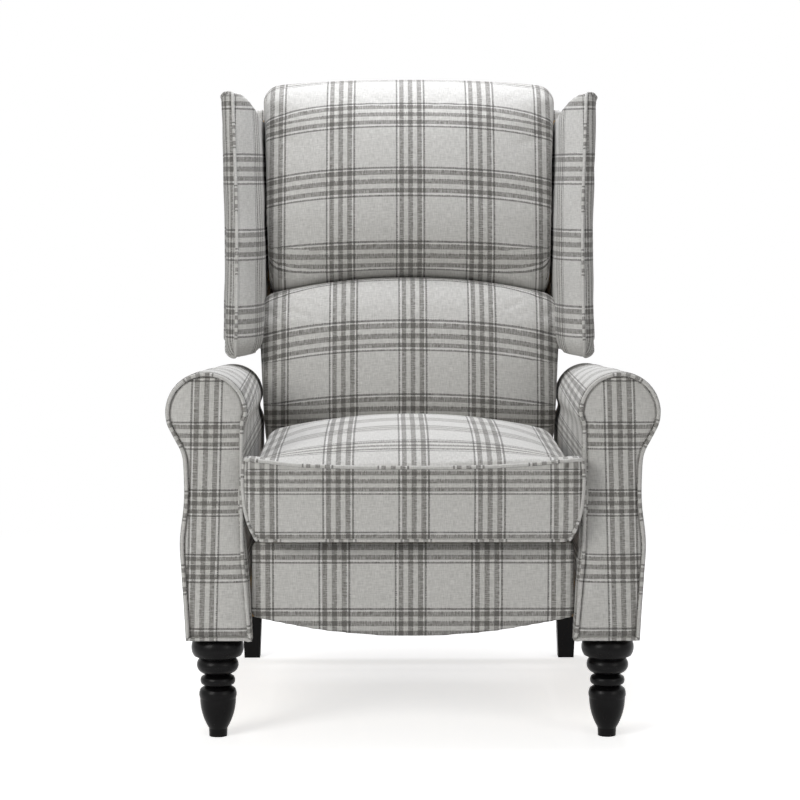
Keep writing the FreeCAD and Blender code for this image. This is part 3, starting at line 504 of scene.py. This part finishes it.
def places(piece):
    values = np.zeros(len(piece.data.vertices) * 3, np.float32)
    piece.data.vertices.foreach_get("co", values)
    return values.reshape(-1, 3).astype(float) / mm


def directions(piece):
    values = np.zeros(len(piece.data.vertices) * 3, np.float32)
    piece.data.vertex_normals.foreach_get("vector", values)
    return values.reshape(-1, 3).astype(float)


def movePlaces(piece, points):
    piece.data.vertices.foreach_set("co", (points * mm).astype(np.float32).ravel())
    piece.data.update()


clothRun = {"quality": 5, "stiffness": 12, "frames": 20}


def plump(piece, held, pressure, most):
    # the cover swells round its filling: a cloth run under pressure, sewn where held is 1
    before = places(piece)
    group = piece.vertex_groups.new(name="sewn")
    for index, share in enumerate(held(before)):
        if share > 0.01:
            group.add([index], float(share), "REPLACE")
    cloth = piece.modifiers.new("cover", "CLOTH")
    cloth.settings.quality = clothRun["quality"]
    cloth.settings.use_pressure = True
    cloth.settings.uniform_pressure_force = pressure
    cloth.settings.effector_weights.gravity = 0
    cloth.settings.vertex_group_mass = "sewn"
    cloth.settings.tension_stiffness = clothRun["stiffness"]
    cloth.settings.compression_stiffness = clothRun["stiffness"]
    for number in range(clothRun["frames"]):
        scene.frame_set(number + 1)
    settle(piece)
    scene.frame_set(1)
    moved = places(piece) - before
    length = np.linalg.norm(moved, axis=1)
    capped = most * np.tanh(length / most)
    movePlaces(piece, before + moved * (capped / np.maximum(length, 1e-6))[:, None])
    piece.vertex_groups.clear()
    return piece


def widened(piece, half):
    # the cloth run and the smoothing draw a cushion in, so it is let out to its sewn width
    points = places(piece)
    points[:, 0] *= half / np.abs(points[:, 0]).max()
    movePlaces(piece, points)


def rumple(piece, size, depth, seed, share=None):
    # low folds and dents, size across and depth high
    points, ways = places(piece), directions(piece)
    lift = np.array([noise.noise(Vector(p / size) + Vector((seed, 0, 0))) for p in points]) * depth
    if share is not None:
        lift = lift * share(points)
    movePlaces(piece, points + ways * lift[:, None])


def alongLine(points, line):
    # for each place: how far along the line its nearest point is, and how far off the line
    start, run = line[:-1], np.diff(line, axis=0)
    length = np.maximum(np.linalg.norm(run, axis=1), 1e-9)
    before = np.concatenate([[0], np.cumsum(length)[:-1]])
    along, off = np.zeros(len(points)), np.zeros(len(points))
    for first in range(0, len(points), 20000):
        part = points[first:first + 20000]
        gap = part[:, None, :] - start[None]
        share = np.clip((gap * run[None]).sum(2) / length ** 2, 0, 1)
        away = np.linalg.norm(gap - share[:, :, None] * run[None], axis=2)
        best = away.argmin(axis=1)
        rows = np.arange(len(part))
        along[first:first + 20000] = before[best] + share[rows, best] * length[best]
        off[first:first + 20000] = away[rows, best]
    return along, off


def repeatsAt(values, middles):
    # how many repeats along each value lies, where middles are the places of the bands
    middles = np.sort(np.array(middles, float))
    last = len(middles) - 1
    share = np.interp(values, middles, np.arange(last + 1))
    share += np.minimum(0, values - middles[0]) / (middles[1] - middles[0])
    return share + np.maximum(0, values - middles[-1]) / (middles[-1] - middles[-2])


def layCloth(piece, view, line, across, bands, drop=(0, 1), turned=False, ends=0.8):
    # cuts the check so that it runs along the line and straight across it
    # across gives a band's middle and the repeat, bands the places on the line of the others,
    # and drop how much lower the bands hang at a distance from the middle
    mesh = piece.data
    line = np.array(line, float)
    local = view(places(piece))
    along, off = alongLine(local[:, :2], line)
    middles = alongLine(np.array(bands, float), line)[0]
    faceWays = np.zeros(len(mesh.polygons) * 3, np.float32)
    mesh.polygon_normals.foreach_get("vector", faceWays)
    level = faceWays.reshape(-1, 3).astype(float)
    level = (view(level) - view(np.zeros((1, 3))))[:, 2]
    corners = np.zeros(len(mesh.loops), np.int32)
    mesh.loops.foreach_get("vertex_index", corners)
    sides = np.zeros(len(mesh.polygons), np.int32)
    mesh.polygons.foreach_get("loop_total", sides)
    turn = np.repeat(np.where(np.abs(level) > ends, np.sign(level), 0), sides)
    beside = local[corners, 2]
    lower = along[corners] + drop[0] * (beside / drop[1]) ** 2
    values = [(beside + turn * off[corners] - across[0]) / across[1], repeatsAt(lower, middles)]
    if turned:
        values.reverse()
    layer = mesh.uv_layers.get("cloth") or mesh.uv_layers.new(name="cloth")
    flat = np.stack(values, axis=1) * plaid["repeat"] * mm
    layer.data.foreach_set("uv", flat.astype(np.float32).ravel())


def dress(piece, body, *nodes, slot="upholstery_fabric"):
    piece.data.materials.clear()
    piece.data.materials.append(finishes[slot])
    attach(piece, body)
    if nodes:
        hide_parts(*nodes)
    return piece


def frontView(points):
    # up, forward and x, for pieces that face the sitter's way
    return np.stack([points[:, 2], points[:, 1], points[:, 0]], axis=1)


def sideView(points):
    # forward, up and x, for the seat
    return np.stack([-points[:, 1], points[:, 2], points[:, 0]], axis=1)


# Piping: a cord under a narrow strip of the same cloth

cording = {
    "radius": 2.7, "gap": 3.5, "around": 10, "pucker": 0.12, "puckerSize": 6,
    "strip": 45,  # how far from a band the strip is cut
    "smoothing": 3,
}


def tube(name, path, radius, closed=False, around=10, pucker=0.0):
    line = np.array(path, float)
    count = len(line)
    if closed:
        run = np.roll(line, -1, axis=0) - np.roll(line, 1, axis=0)
    else:
        run = np.gradient(line, axis=0)
    run /= np.linalg.norm(run, axis=1)[:, None]
    up = Vector((0.3, 0.2, 0.93)).cross(Vector(run[0])).normalized()
    points, strip = [], 0
    uvs = []
    for index in range(count):
        way = Vector(run[index])
        up = (up - way * up.dot(way)).normalized()
        beside = way.cross(up)
        if index:
            strip += float(np.linalg.norm(line[index] - line[index - 1]))
        for k in range(around):
            angle = 2 * math.pi * k / around
            spot = Vector(line[index])
            swell = 1 + pucker * noise.noise((spot + up * k) / cording["puckerSize"])
            outward = up * math.cos(angle) + beside * math.sin(angle)
            points.append(spot + outward * radius * swell)
            uvs.append((strip, angle * radius))
    faces, corners = [], []
    for a in range(count if closed else count - 1):
        b = (a + 1) % count
        for k in range(around):
            n = (k + 1) % around
            faces.append((a * around + k, a * around + n, b * around + n, b * around + k))
            ahead = strip + float(np.linalg.norm(line[0] - line[-1])) if b == 0 else None
            lap = 2 * math.pi * radius if n == 0 else None
            for spot, wraps, laps in ((a * around + k, None, None), (a * around + n, None, lap),
                                      (b * around + n, ahead, lap), (b * around + k, ahead, None)):
                s, r = uvs[spot]
                corners.append((s if wraps is None else wraps, r if laps is None else laps))
    if not closed:
        faces.append(tuple(range(around)))
        corners += [uvs[k] for k in range(around)]
        faces.append(tuple((count - 1) * around + k for k in range(around)))
        corners += [uvs[(count - 1) * around + k] for k in range(around)]
    flat = [((r + cording["strip"]) * mm, s * mm) for s, r in corners]
    return newPiece(name, points, faces, flat)


def piping(name, path, body, host=None, closed=False, proud=0.5):
    # lays the cord on the piece it trims, sunk a little into the seam
    line = spaced(smoothed(path, 8, closed), cording["gap"], closed)
    if host is not None:
        skin = BVHTree.FromObject(host, bpy.context.evaluated_depsgraph_get())
        nearest = []
        for spot in line:
            where, way = skin.find_nearest(Vector(spot) * mm)[:2]
            nearest.append(np.array(where / mm + way * cording["radius"] * proud))
        line = np.array(nearest)
        for _ in range(cording["smoothing"]):
            if closed:
                line = (np.roll(line, 1, axis=0) + line * 2 + np.roll(line, -1, axis=0)) / 4
            else:
                line[1:-1] = (line[:-2] + line[1:-1] * 2 + line[2:]) / 4
    cord = tube(name, line, cording["radius"], closed, cording["around"], cording["pucker"])
    return dress(cord, body)


# Seat cushion: a box seat with a raised crown and a boxed front that laps over the arm fronts

seat = {
    "half": 239, "rear": -74, "lap": 424, "under": 346, "edge": 416,
    "crown": [(-74, 438), (-30, 447), (60, 454), (240, 455), (340, 448), (395, 434), (424, 414)],
    "roundness": 2.2,
    "frontHalf": [(303, 233), (307, 236), (330, 247), (355, 253), (388, 255.5), (405, 255),
                  (417, 253), (422, 250)],
    "frontFace": [(303, 420), (307, 425), (330, 430), (355, 431), (388, 431), (405, 430),
                  (417, 427), (422, 423)],
    "sewn": 252.5, "frontRear": 380, "corner": 11, "seam": 3, "ear": 15, "earFrom": 390, "dip": 8,
    "voxel": 5.5, "pressure": 4.0, "most": 9,
    "check": {"across": (1, 110.7), "bands": [(431, 286), (431, 394), (372, 441), (258, 455)]},
}


def crownAt(forward):
    places, heights = zip(*seat["crown"])
    return float(np.interp(forward, places, heights))


def seatTop(x, forward):
    share = min(1.0, abs(x) / seat["half"]) ** seat["roundness"]
    lift = max(0.0, (forward - seat["earFrom"]) / (seat["lap"] - seat["earFrom"]))
    rim = seat["edge"] + seat["ear"] * lift * share
    return crownAt(forward) + (rim - crownAt(forward)) * share


def seatBody():
    stops = np.concatenate([np.arange(seat["rear"] + 8, 390, 26), [402, 413, seat["lap"]]])
    rings = []
    for x in np.linspace(-seat["half"], seat["half"], 33):
        end = 7 if abs(x) > seat["half"] - 1 else 0
        ring = [(seat["rear"] + end, seat["under"] + 6), (seat["rear"] + end, seat["edge"] - 12)]
        ring += [(f, seatTop(x, f) - end) for f in stops]
        ring += [(seat["lap"], 400), (seat["lap"], seat["under"] + end),
                 (200, seat["under"] + end)]
        rings.append([(x, -f, z) for f, z in ring])
    return loft("seatBody", rings)


def seatFront():
    rings = []
    for (z, half), (_, face) in zip(seat["frontHalf"], seat["frontFace"]):
        c = seat["corner"]
        row = [(x, face) for x in np.linspace(-half + c, half - c, 41)]
        ring = row + [(half - 3, face - 3), (half, face - c), (half, seat["frontRear"])]
        ring += [(x, seat["frontRear"]) for x in np.linspace(half - c, -half + c, 21)]
        ring += [(-half, seat["frontRear"]), (-half, face - c), (-half + 3, face - 3)]
        low, high = seat["frontHalf"][0][0], seat["frontHalf"][-1][0]
        share = (z - low) / (high - low)
        rings.append([(x, -f, z + share ** 3 * (
            seat["ear"] * (abs(x) / 250) ** 3 - seat["dip"])) for x, f in ring])
    return loft("seatFront", rings)


def seatSeam():
    # the sewn edge round the boxed front, from the left ear round and back
    top = [(x, -seat["lap"] - 3, 422 - seat["dip"] + seat["ear"] * (abs(x) / 250) ** 3)
           for x in np.linspace(-256, 256, 21)]
    sides = [(half - seat["seam"], -face, z) for (z, half), (_, face) in
             zip(seat["frontHalf"], seat["frontFace"])]
    bottom = [(x, -425, 304) for x in np.linspace(226, -226, 21)]
    down = sides[::-1]
    return top, down, bottom


def seatHeld(points):
    top, down, bottom = seatSeam()
    share = np.zeros(len(points))
    for line in (top, down, bottom, [(-x, y, z) for x, y, z in down]):
        away = alongLine(points, np.array(line, float))[1]
        share = np.maximum(share, np.clip(1.6 - away / 8, 0, 1))
    share[points[:, 2] < seat["under"] + 8] = 1
    share[points[:, 1] > -seat["rear"] - 14] = 1
    inside = np.abs(points[:, 0]) > seat["half"] - 6
    share[inside & (points[:, 1] > -400)] = 1
    share[(points[:, 1] > -405) & (points[:, 2] < 400)] = 1
    return share


def makeSeat():
    cushion = joined("seatCushion", [seatBody(), seatFront()])
    remeshed(cushion, seat["voxel"])
    relaxed(cushion, 0.5, 3)
    plump(cushion, seatHeld, seat["pressure"], seat["most"])
    relaxed(cushion, 0.4, 2)
    widened(cushion, seat["sewn"])
    finer(cushion)
    middle = [(seat["lap"] + 7, 300), (seat["lap"] + 7, 416)] + [
        (f, z) for f, z in seat["crown"][::-1]] + [(seat["rear"], 350)]
    layCloth(cushion, sideView, middle, seat["check"]["across"], seat["check"]["bands"])
    dress(cushion, "seat", "seat_cushion")
    top, down, bottom = seatSeam()
    piping("seatTopPiping", top, "seat", cushion, proud=0.7)
    piping("seatBottomPiping", bottom, "seat", cushion, proud=0.3)
    piping("seatRightPiping", down, "seat", cushion, proud=0.4)
    piping("seatLeftPiping", [(-x, y, z) for x, y, z in down], "seat", cushion, proud=0.4)
    print("seat cushion ready")


makeSeat()

# Back cushions: two crowned pads on the leaning frame, each drawn in at its seams

back = {
    "half": 250, "rear": -46, "arch": 27,  # how far the seam drops from the middle to the sides
    "lumbar": {  # rise: depth at the middle and at the sides
        "front": [(40, -118, -96), (62, -150, -120), (110, -170, -134), (190, -178, -138),
                  (262, -176, -136), (312, -166, -128), (336, -146, -116), (345, -122, -104)],
        "half": [(40, 236), (90, 243), (160, 245), (190, 247.5), (215, 252.5), (265, 256),
                 (312, 248), (345, 238)],
        "across": (5, 117), "bands": [(-170, 106), (-177, 228), (-120, 350)], "drop": 16,
        "sewn": 259,
    },
    "upper": {
        "front": [(347, -120, -104), (356, -142, -114), (382, -160, -126), (445, -170, -132),
                  (540, -171, -133), (620, -166, -130), (668, -148, -120), (694, -118, -102),
                  (710, -84, -76), (719, -46, -46), (719, -12, -12)],
        "half": [(347, 243), (420, 248), (540, 249), (640, 251), (680, 259), (720, 256)],
        "across": (1.7, 119.6), "bands": [(-158, 371), (-171, 500), (-165, 622)], "drop": 10,
        "sewn": 257,
    },
    "roundness": 3.4, "voxel": 5.5, "pressure": 4.0, "most": 9,
    "crownDrop": 9, "cornerDrop": 13, "cornerReach": 28,
}


def padRing(part, x, closing):
    # the outline of a back pad at one place across it, in depth and rise
    plan = back[part]
    limit = back["half"]
    share = min(1.0, abs(x) / limit) ** back["roundness"]
    ring = []
    for rise, middle, edge in plan["front"]:
        depth = middle + (edge - middle) * share
        near = max(0.0, 1 - abs(rise - 346) / 110)
        drop = back["arch"] * near * (abs(x) / limit) ** 2
        if rise > 600:
            outer = max(0.0, 1 - (limit - abs(x)) / back["cornerReach"])
            drop += (rise - 600) / 120 * (back["crownDrop"] * (x / limit) ** 2
                                          + back["cornerDrop"] * outer ** 2)
        ring.append((depth, rise - drop))
    low, high = ring[0][1], ring[-1][1]
    if part == "upper":
        ring += [(-6, 712), (-6, 694), (back["rear"], 690)]
    else:
        ring += [(back["rear"], high)]
    steps = 5
    ring += [(back["rear"], high + (low - high) * (k + 1) / steps) for k in range(steps)]
    if closing:
        middle = np.mean(ring, axis=0)
        ring = [tuple(np.array(p) + (middle - p) * closing) for p in ring]
    return ring


def padSkin(part):
    plan = back[part]
    rises, halves = zip(*plan["half"])
    rings = []
    for share in (-1, -0.985, -0.95, *np.linspace(-0.9, 0.9, 25), 0.95, 0.985, 1):
        x = share * back["half"]
        closing = max(0.0, (abs(share) - 0.94) / 0.06) ** 2 * 0.1
        rings.append([onBack(x * float(np.interp(rise, rises, halves)) / back["half"], depth, rise)
                      for depth, rise in padRing(part, x, closing)])
    return loft(part, rings)


def padHeld(part):
    plan = back[part]
    low, high = plan["front"][0][0], plan["front"][-1][0]
    rises, halves = zip(*plan["half"])

    def held(points):
        local = backView(points)
        depth, rise, x = local[:, 0], local[:, 1], np.abs(local[:, 2])
        arched = rise + back["arch"] * (x / back["half"]) ** 2
        share = np.clip((depth - back["rear"] + 30) / 20, 0, 1)
        edges = (arched,) if part == "lumbar" else (arched, rise)
        seam = high if part == "lumbar" else low
        share = np.maximum(share, np.clip(1.4 - np.abs(edges[0] - seam) / 9, 0, 1))
        share = np.maximum(share, np.clip((x - np.interp(rise, rises, halves) + 7) / 5, 0, 1))
        if part == "lumbar":
            share = np.maximum(share, np.clip(1.5 - (rise - low) / 12, 0, 1))
        return share
    return held


def makePad(part, name, node):
    pad = padSkin(part)
    pad.name = name
    remeshed(pad, back["voxel"])
    relaxed(pad, 0.5, 4)
    plump(pad, padHeld(part), back["pressure"], back["most"])
    relaxed(pad, 0.4, 2)
    plan = back[part]
    widened(pad, plan["sewn"])
    finer(pad)
    line = [(depth, rise) for rise, depth, _ in plan["front"]]
    if part == "upper":
        line += [(-4, 712), (-4, 690)]
    layCloth(pad, backView, line, plan["across"], plan["bands"], (plan["drop"], back["half"]))
    dress(pad, "back", node)
    return pad


makePad("lumbar", "lumbarCushion", "lumbar_cushion")
makePad("upper", "upperBackCushion", "upper_back_cushion")
print("back cushions ready")

# Wings: padded wedges that flare a little, with piping up their front edge

wing = {
    # how far out and how deep each place of the section is, from the rear outside round
    "section": [(322, -6), (320, -60), (316, -120), (313, -175), (310.5, -202), (305, -216),
                (298, -223), (292, -224), (285, -220), (276, -212), (267, -200), (259, -183),
                (253, -160), (250, -128), (249, -86), (249, -44), (250, -7)],
    "nose": 7,
    "low": [(-6, 255), (-100, 253), (-130, 252), (-160, 243), (-190, 209), (-224, 188)],
    # depth and rise of the slanting ends
    "high": [(-6, 684), (-74, 668), (-142, 656), (-188, 649), (-224, 643)],
    # how much further out the front edge lies at each rise
    "flare": [(181, -2), (262, -2.5), (388, -2), (461, 0), (565, 5), (650, 9)],
    "flareDepth": 150, "lowCorner": 24, "highCorner": 7,
    # the top falls away inside and outside these places: out, over how far, how much, how round
    "innerTop": (286, 37, 32, 2.2), "outerTop": (306, 15, 5, 2),
    "overRoll": (305, 51, 0.35),  # the lower end follows the roll of the arm below it
    "levels": 60, "voxel": 4.0, "rounds": 5, "folds": (60, 1.8, 3.0),  # size, depth and seed
    "check": {"across": (721.9, 127), "bands": [(-265, 420), (-172, 256)]},
}


def wingEnd(table, depth):
    depths, rises = zip(*sorted(table))
    return float(np.interp(depth, depths, rises))


def wingRing(level):
    # the section at one level between its slanting ends, as out, depth and rise
    ring = []
    for out, depth in smoothed(wing["section"], 4, True):
        middle, roll, follow = wing["overRoll"]
        away = min(roll, max(0.0, middle - out))
        low = wingEnd(wing["low"], depth) - follow * (roll - math.sqrt(roll ** 2 - away ** 2))
        high = wingEnd(wing["high"], depth)
        for way, (start, over, fall, power) in ((-1, wing["innerTop"]), (1, wing["outerTop"])):
            high -= fall * min(1.0, max(0.0, way * (out - start) / over)) ** power
        rise = low + (high - low) * level
        reach = min(1.0, -depth / wing["flareDepth"])
        flare = wingEnd(wing["flare"], rise) * (0.5 + 0.5 * reach)
        tuck = 0.0
        for near, corner in ((rise - low, wing["lowCorner"]), (high - rise, wing["highCorner"])):
            end = max(0.0, 1 - near / corner)
            tuck += corner * (1 - math.sqrt(1 - end ** 2)) * max(0.0, reach) ** 2
        ring.append((out + flare, depth + tuck, rise))
    return ring


def makeWing(side):
    name = "left" if side < 0 else "right"
    levels = 0.5 - 0.5 * np.cos(np.linspace(0, math.pi, wing["levels"]))
    rings = [wingRing(level) for level in levels]
    skin = loft(name + "WingCover", [
        [onBack(side * out, depth, rise) for out, depth, rise in ring] for ring in rings])
    remeshed(skin, wing["voxel"])
    relaxed(skin, 0.5, wing["rounds"])
    finer(skin)
    size, depth, seed = wing["folds"]
    rumple(skin, size, depth, seed + side)
    outline = [(depth, out) for out, depth in smoothed(wing["section"], 3)]

    def view(points):
        # depth and how far out, and the height in the room, so that the bands lie level
        local = backView(points)
        return np.stack([local[:, 0], np.abs(local[:, 2]), points[:, 2]], axis=1)

    layCloth(skin, view, outline, wing["check"]["across"],
             [(depth, out) for depth, out in wing["check"]["bands"]], turned=True)
    dress(skin, "back", name + "_wing_upholstery")
    edge = [rings[-1][k] for k in range(6, wing["nose"] * 4, 3)]
    edge += [ring[wing["nose"] * 4] for ring in rings[::-3]]
    edge += [rings[0][k] for k in range(wing["nose"] * 4 - 3, 6, -3)]
    piping(name + "WingPiping", [onBack(side * out, depth, rise) for out, depth, rise in edge],
           "back", skin, proud=0.6)


for side in (-1, 1):
    makeWing(side)
print("wings ready")

# Arms: a rolled cover over the arm box, with a padded board and a ring of piping on its front

arm = {
    "frontRoll": (303, 491, 61), "rearRoll": (305, 462, 51),
    "inner": [(252, 151), (252, 230), (252, 310), (252, 380), (252, 420)],
    # the same places on the padded post behind the front board, and how far back it reaches
    "post": [(238.5, 151), (241.0, 230), (248, 310), (252, 380), (252, 420)], "postFrom": 352,
    "neckDrop": 86, "neck": 337.5, "waist": 358, "bulge": (344, 300),
    "hip": (342, 250), "hem": (336.5, 151),
    "boardInner": [(237, 151), (243, 230), (248, 300)],
    "rear": -250, "front": 399, "pipeInset": 4.0, "boardInset": 6.6, "around": 300,
    "puff": 5.5, "puffReach": 14,
    "coverFolds": ((110, 2.2, 11.0), (34, 0.7, 17.0)), "boardFolds": (70, 1.2, 23.0),
    "check": {
        "board": (305, 112), "lean": 0.03,  # the band leans out a little towards the foot
        "boardBands": [(148, -399), (263, -399), (357.5, -399), (457.5, -399)],
        "cover": (60, 112), "coverBands": [(245, 507), (334, 544)],
    },
}


def armOutline(roll, inner):
    # from the inner foot, up and over the roll, and down the outside
    x, z, radius = roll
    points = list(inner)
    around = [204, 184, 162, 140, 118, 96, 74, 52, 30, 8, -14, -36]
    points += [(x + radius * math.cos(math.radians(a)), z + radius * math.sin(math.radians(a)))
               for a in around]
    neck = z - arm["neckDrop"]
    points += [(arm["neck"] + 3, neck + 26), (arm["neck"], neck), (arm["neck"], arm["waist"]),
               arm["bulge"], arm["hip"], (339, 200), arm["hem"]]
    line = np.vstack([smoothed(points, 6), [points[0]]])
    along = np.concatenate([[0], np.cumsum(np.linalg.norm(np.diff(line, axis=0), axis=1))])
    stops = np.linspace(0, along[-1], arm["around"] + 1)[:-1]
    return np.stack([np.interp(stops, along, line[:, k]) for k in (0, 1)], axis=1)


def armRing(forward, amount):
    share = (arm["front"] - forward) / (arm["front"] - arm["rear"])
    roll = [a + (b - a) * share for a, b in zip(arm["frontRoll"], arm["rearRoll"])]
    turn = min(1.0, max(0.0, (forward - arm["postFrom"]) / 12))
    inner = [(x + (y - x) * turn, z) for (x, z), (y, _) in zip(arm["inner"], arm["post"])]
    line = armOutline(roll, inner)
    return inset(line, amount) if amount else line


def makeArmCover(side):
    name = "left" if side < 0 else "right"
    front = arm["front"]
    ends = [(front - 4, 9), (front - 1.5, 6.5), (front - 1.2, 4.5), (front - 2, 2.4),
            (front - 4, 0.9), (front - 7, 0.1)]
    ends += [(f, 0) for f in np.linspace(front - 13, arm["rear"] + 14, 70)]
    ends += [(arm["rear"] + 6, 0.3), (arm["rear"] + 2, 1.5), (arm["rear"], 4), (arm["rear"], 8)]
    rings = [[(side * x, -f, z) for x, z in armRing(f, amount)] for f, amount in ends]
    cover = loft(name + "ArmCover", rings)

    def loose(points):
        # tight near the front board and on the inner face, and looser behind and above
        behind = np.clip((points[:, 1] + 396) / 60, 0, 1)
        return behind * (0.15 + 0.85 * np.clip((np.abs(points[:, 0]) - 256) / 14, 0, 1))

    for size, depth, seed in arm["coverFolds"]:
        rumple(cover, size, depth, seed + side, loose)

    def view(points):
        return np.stack([np.abs(points[:, 0]), points[:, 2], -points[:, 1]], axis=1)

    layCloth(cover, view, armRing(0, 0)[::4], arm["check"]["cover"], arm["check"]["coverBands"],
             turned=True)
    dress(cover, "base", name + "_arm_upholstery")


def board(name, outline, place, back, face, voxel):
    # a board padded on one face, with soft edges
    pad = loft(name, [[place(a, b, depth) for a, b in outline] for depth in (back, face)])
    remeshed(pad, voxel)
    return relaxed(pad, 0.5, 2)


def puffed(pad, outline, flat, face, amount, reach):
    # the face of a padded board swells evenly and rounds off towards its edge
    points = places(pad)
    away = alongLine(flat(points), np.vstack([outline, outline[:1]]))[1]
    facing = np.clip((-points[:, 1] - face + 6) / 5, 0, 1)
    points[:, 1] -= facing * amount * (1 - np.exp(-away / reach))
    movePlaces(pad, points)


def makeArmBoard(side):
    name = "left" if side < 0 else "right"
    shape = armOutline(arm["frontRoll"], arm["boardInner"])
    inner = inset(shape, arm["boardInset"])
    face = arm["front"] - 2

    def place(x, z, forward):
        return (side * x, -forward, z)

    pad = board(name + "ArmBoard", inner, place, arm["front"] - 21, face, 3.0)
    puffed(pad, inner, lambda points: np.abs(points[:, [0, 2]]), face, arm["puff"],
           arm["puffReach"])
    size, depth, seed = arm["boardFolds"]
    rumple(pad, size, depth, seed + side)

    def view(points):
        # the cut leans a little, as on the real board
        return np.stack([points[:, 2], points[:, 1], np.abs(points[:, 0])
                         + arm["check"]["lean"] * (points[:, 2] - 400)], axis=1)

    line = [(0, -arm["front"]), (700, -arm["front"])]
    layCloth(pad, view, line, arm["check"]["board"], arm["check"]["boardBands"])
    dress(pad, "base", name + "_arm_facing")
    ring = [place(x, z, arm["front"] + 0.6) for x, z in inset(shape, arm["pipeInset"])]
    piping(name + "ArmPiping", ring[::4], "base", closed=True)


for side in (-1, 1):
    makeArmCover(side)
    makeArmBoard(side)
print("arms ready")

# Footrest: a padded board that closes the front under the seat, with an arched lower edge

footrest = {
    "half": 239.2, "top": 297, "sideLow": 186, "midLow": 156, "back": 360.5, "face": 382,
    "corner": 5, "puff": 5.5, "reach": 16, "voxel": 3.5, "folds": (80, 1.6, 31.0),
    "check": {"across": (-3.5, 113), "bands": [(175.5, -385), (289.4, -385)]},
}


def makeFootrest():
    half, top, corner = footrest["half"], footrest["top"], footrest["corner"]
    drop = footrest["sideLow"] - footrest["midLow"]
    radius = (half ** 2 + drop ** 2) / 2 / drop
    low = [(x, footrest["midLow"] + radius - math.sqrt(radius ** 2 - x ** 2))
           for x in np.linspace(-half + corner, half - corner, 61)]
    outline = low + [(half, footrest["sideLow"] + corner), (half, top - corner),
                     (half - corner, top), (-half + corner, top), (-half, top - corner),
                     (-half, footrest["sideLow"] + corner)]
    outline = spaced(outline, 6, True)

    def place(x, z, forward):
        return (x, -forward, z)

    pad = board("footrestPad", outline, place, footrest["back"], footrest["face"],
                footrest["voxel"])
    puffed(pad, outline, lambda points: points[:, [0, 2]], footrest["face"], footrest["puff"],
           footrest["reach"])
    rumple(pad, *footrest["folds"])
    line = [(0, -footrest["face"]), (400, -footrest["face"])]
    layCloth(pad, frontView, line, footrest["check"]["across"], footrest["check"]["bands"])
    dress(pad, "footrest", "footrest_pad")


makeFootrest()
print("footrest ready")

# Outside back: cloth drawn over the rear of the frame

outside = {
    "narrow": 237, "wide": 321, "low": -29, "shoulder": 324, "ears": 678, "top": 724,
    "front": -3.6, "rear": 0.6, "puff": 3.0, "reach": 30, "voxel": 3.5,
    "check": {"across": (0, 119), "bands": [(0, 348), (0, 470)]},
}


def makeOutside():
    n, w = outside["narrow"], outside["wide"]
    half = [(n, outside["low"]), (n, outside["shoulder"]), (w, outside["shoulder"]),
            (w, outside["ears"]), (n + 2, outside["ears"] + 6), (n, outside["top"])]
    outline = half + [(-x, z) for x, z in half[::-1]]
    pad = loft("outsideBackCover", [
        [onBack(x, depth, rise) for x, rise in outline]
        for depth in (outside["front"], outside["rear"])])
    remeshed(pad, outside["voxel"])
    points = places(pad)
    local = backView(points)
    away = alongLine(local[:, [2, 1]], np.array(outline + outline[:1], float))[1]
    puff = outside["puff"] * (1 - np.exp(-away / outside["reach"]))
    puff *= np.clip((local[:, 0] - outside["front"] - 1.5) / 1.5, 0, 1)
    moved = [onBack(x, depth + p, rise) for (depth, rise, x), p in zip(local, puff)]
    movePlaces(pad, np.array(moved))
    line = [(0, outside["low"]), (0, outside["top"])]
    layCloth(pad, backView, line, outside["check"]["across"], outside["check"]["bands"])
    dress(pad, "back", "outside_back_cover")


makeOutside()
print("outside back ready")

# Counterbalance springs: close wound steel coils between the seat rails and the back brackets

spring = {
    "out": 217, "up": 331, "front": 118, "rear": 181, "hook": 8, "coil": 5.8, "wire": 1.1,
    "turns": 18, "perTurn": 14,
}


def makeSprings():
    coils = []
    for side in (-1, 1):
        x, z = side * spring["out"], spring["up"]
        path = [(x, spring["front"] + t, z) for t in np.linspace(0, spring["hook"] - 2, 4)]
        length = spring["rear"] - spring["front"] - 2 * spring["hook"]
        steps = spring["turns"] * spring["perTurn"]
        for k in range(steps + 1):
            share = k / steps
            grow = min(1.0, share * 12, (1 - share) * 12)
            angle = 2 * math.pi * spring["turns"] * share
            path.append((x + spring["coil"] * grow * math.cos(angle),
                         spring["front"] + spring["hook"] + length * share,
                         z + spring["coil"] * grow * math.sin(angle)))
        path += [(x, spring["rear"] - t, z) for t in np.linspace(spring["hook"] - 2, 0, 4)]
        coils.append(tube("coil", path, spring["wire"], around=8))
    springs = joined("counterbalanceSprings", coils)
    springs.data.materials.append(finishes["spring_steel"])
    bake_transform(springs)
    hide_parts("return_springs")


makeSprings()
print("springs ready")
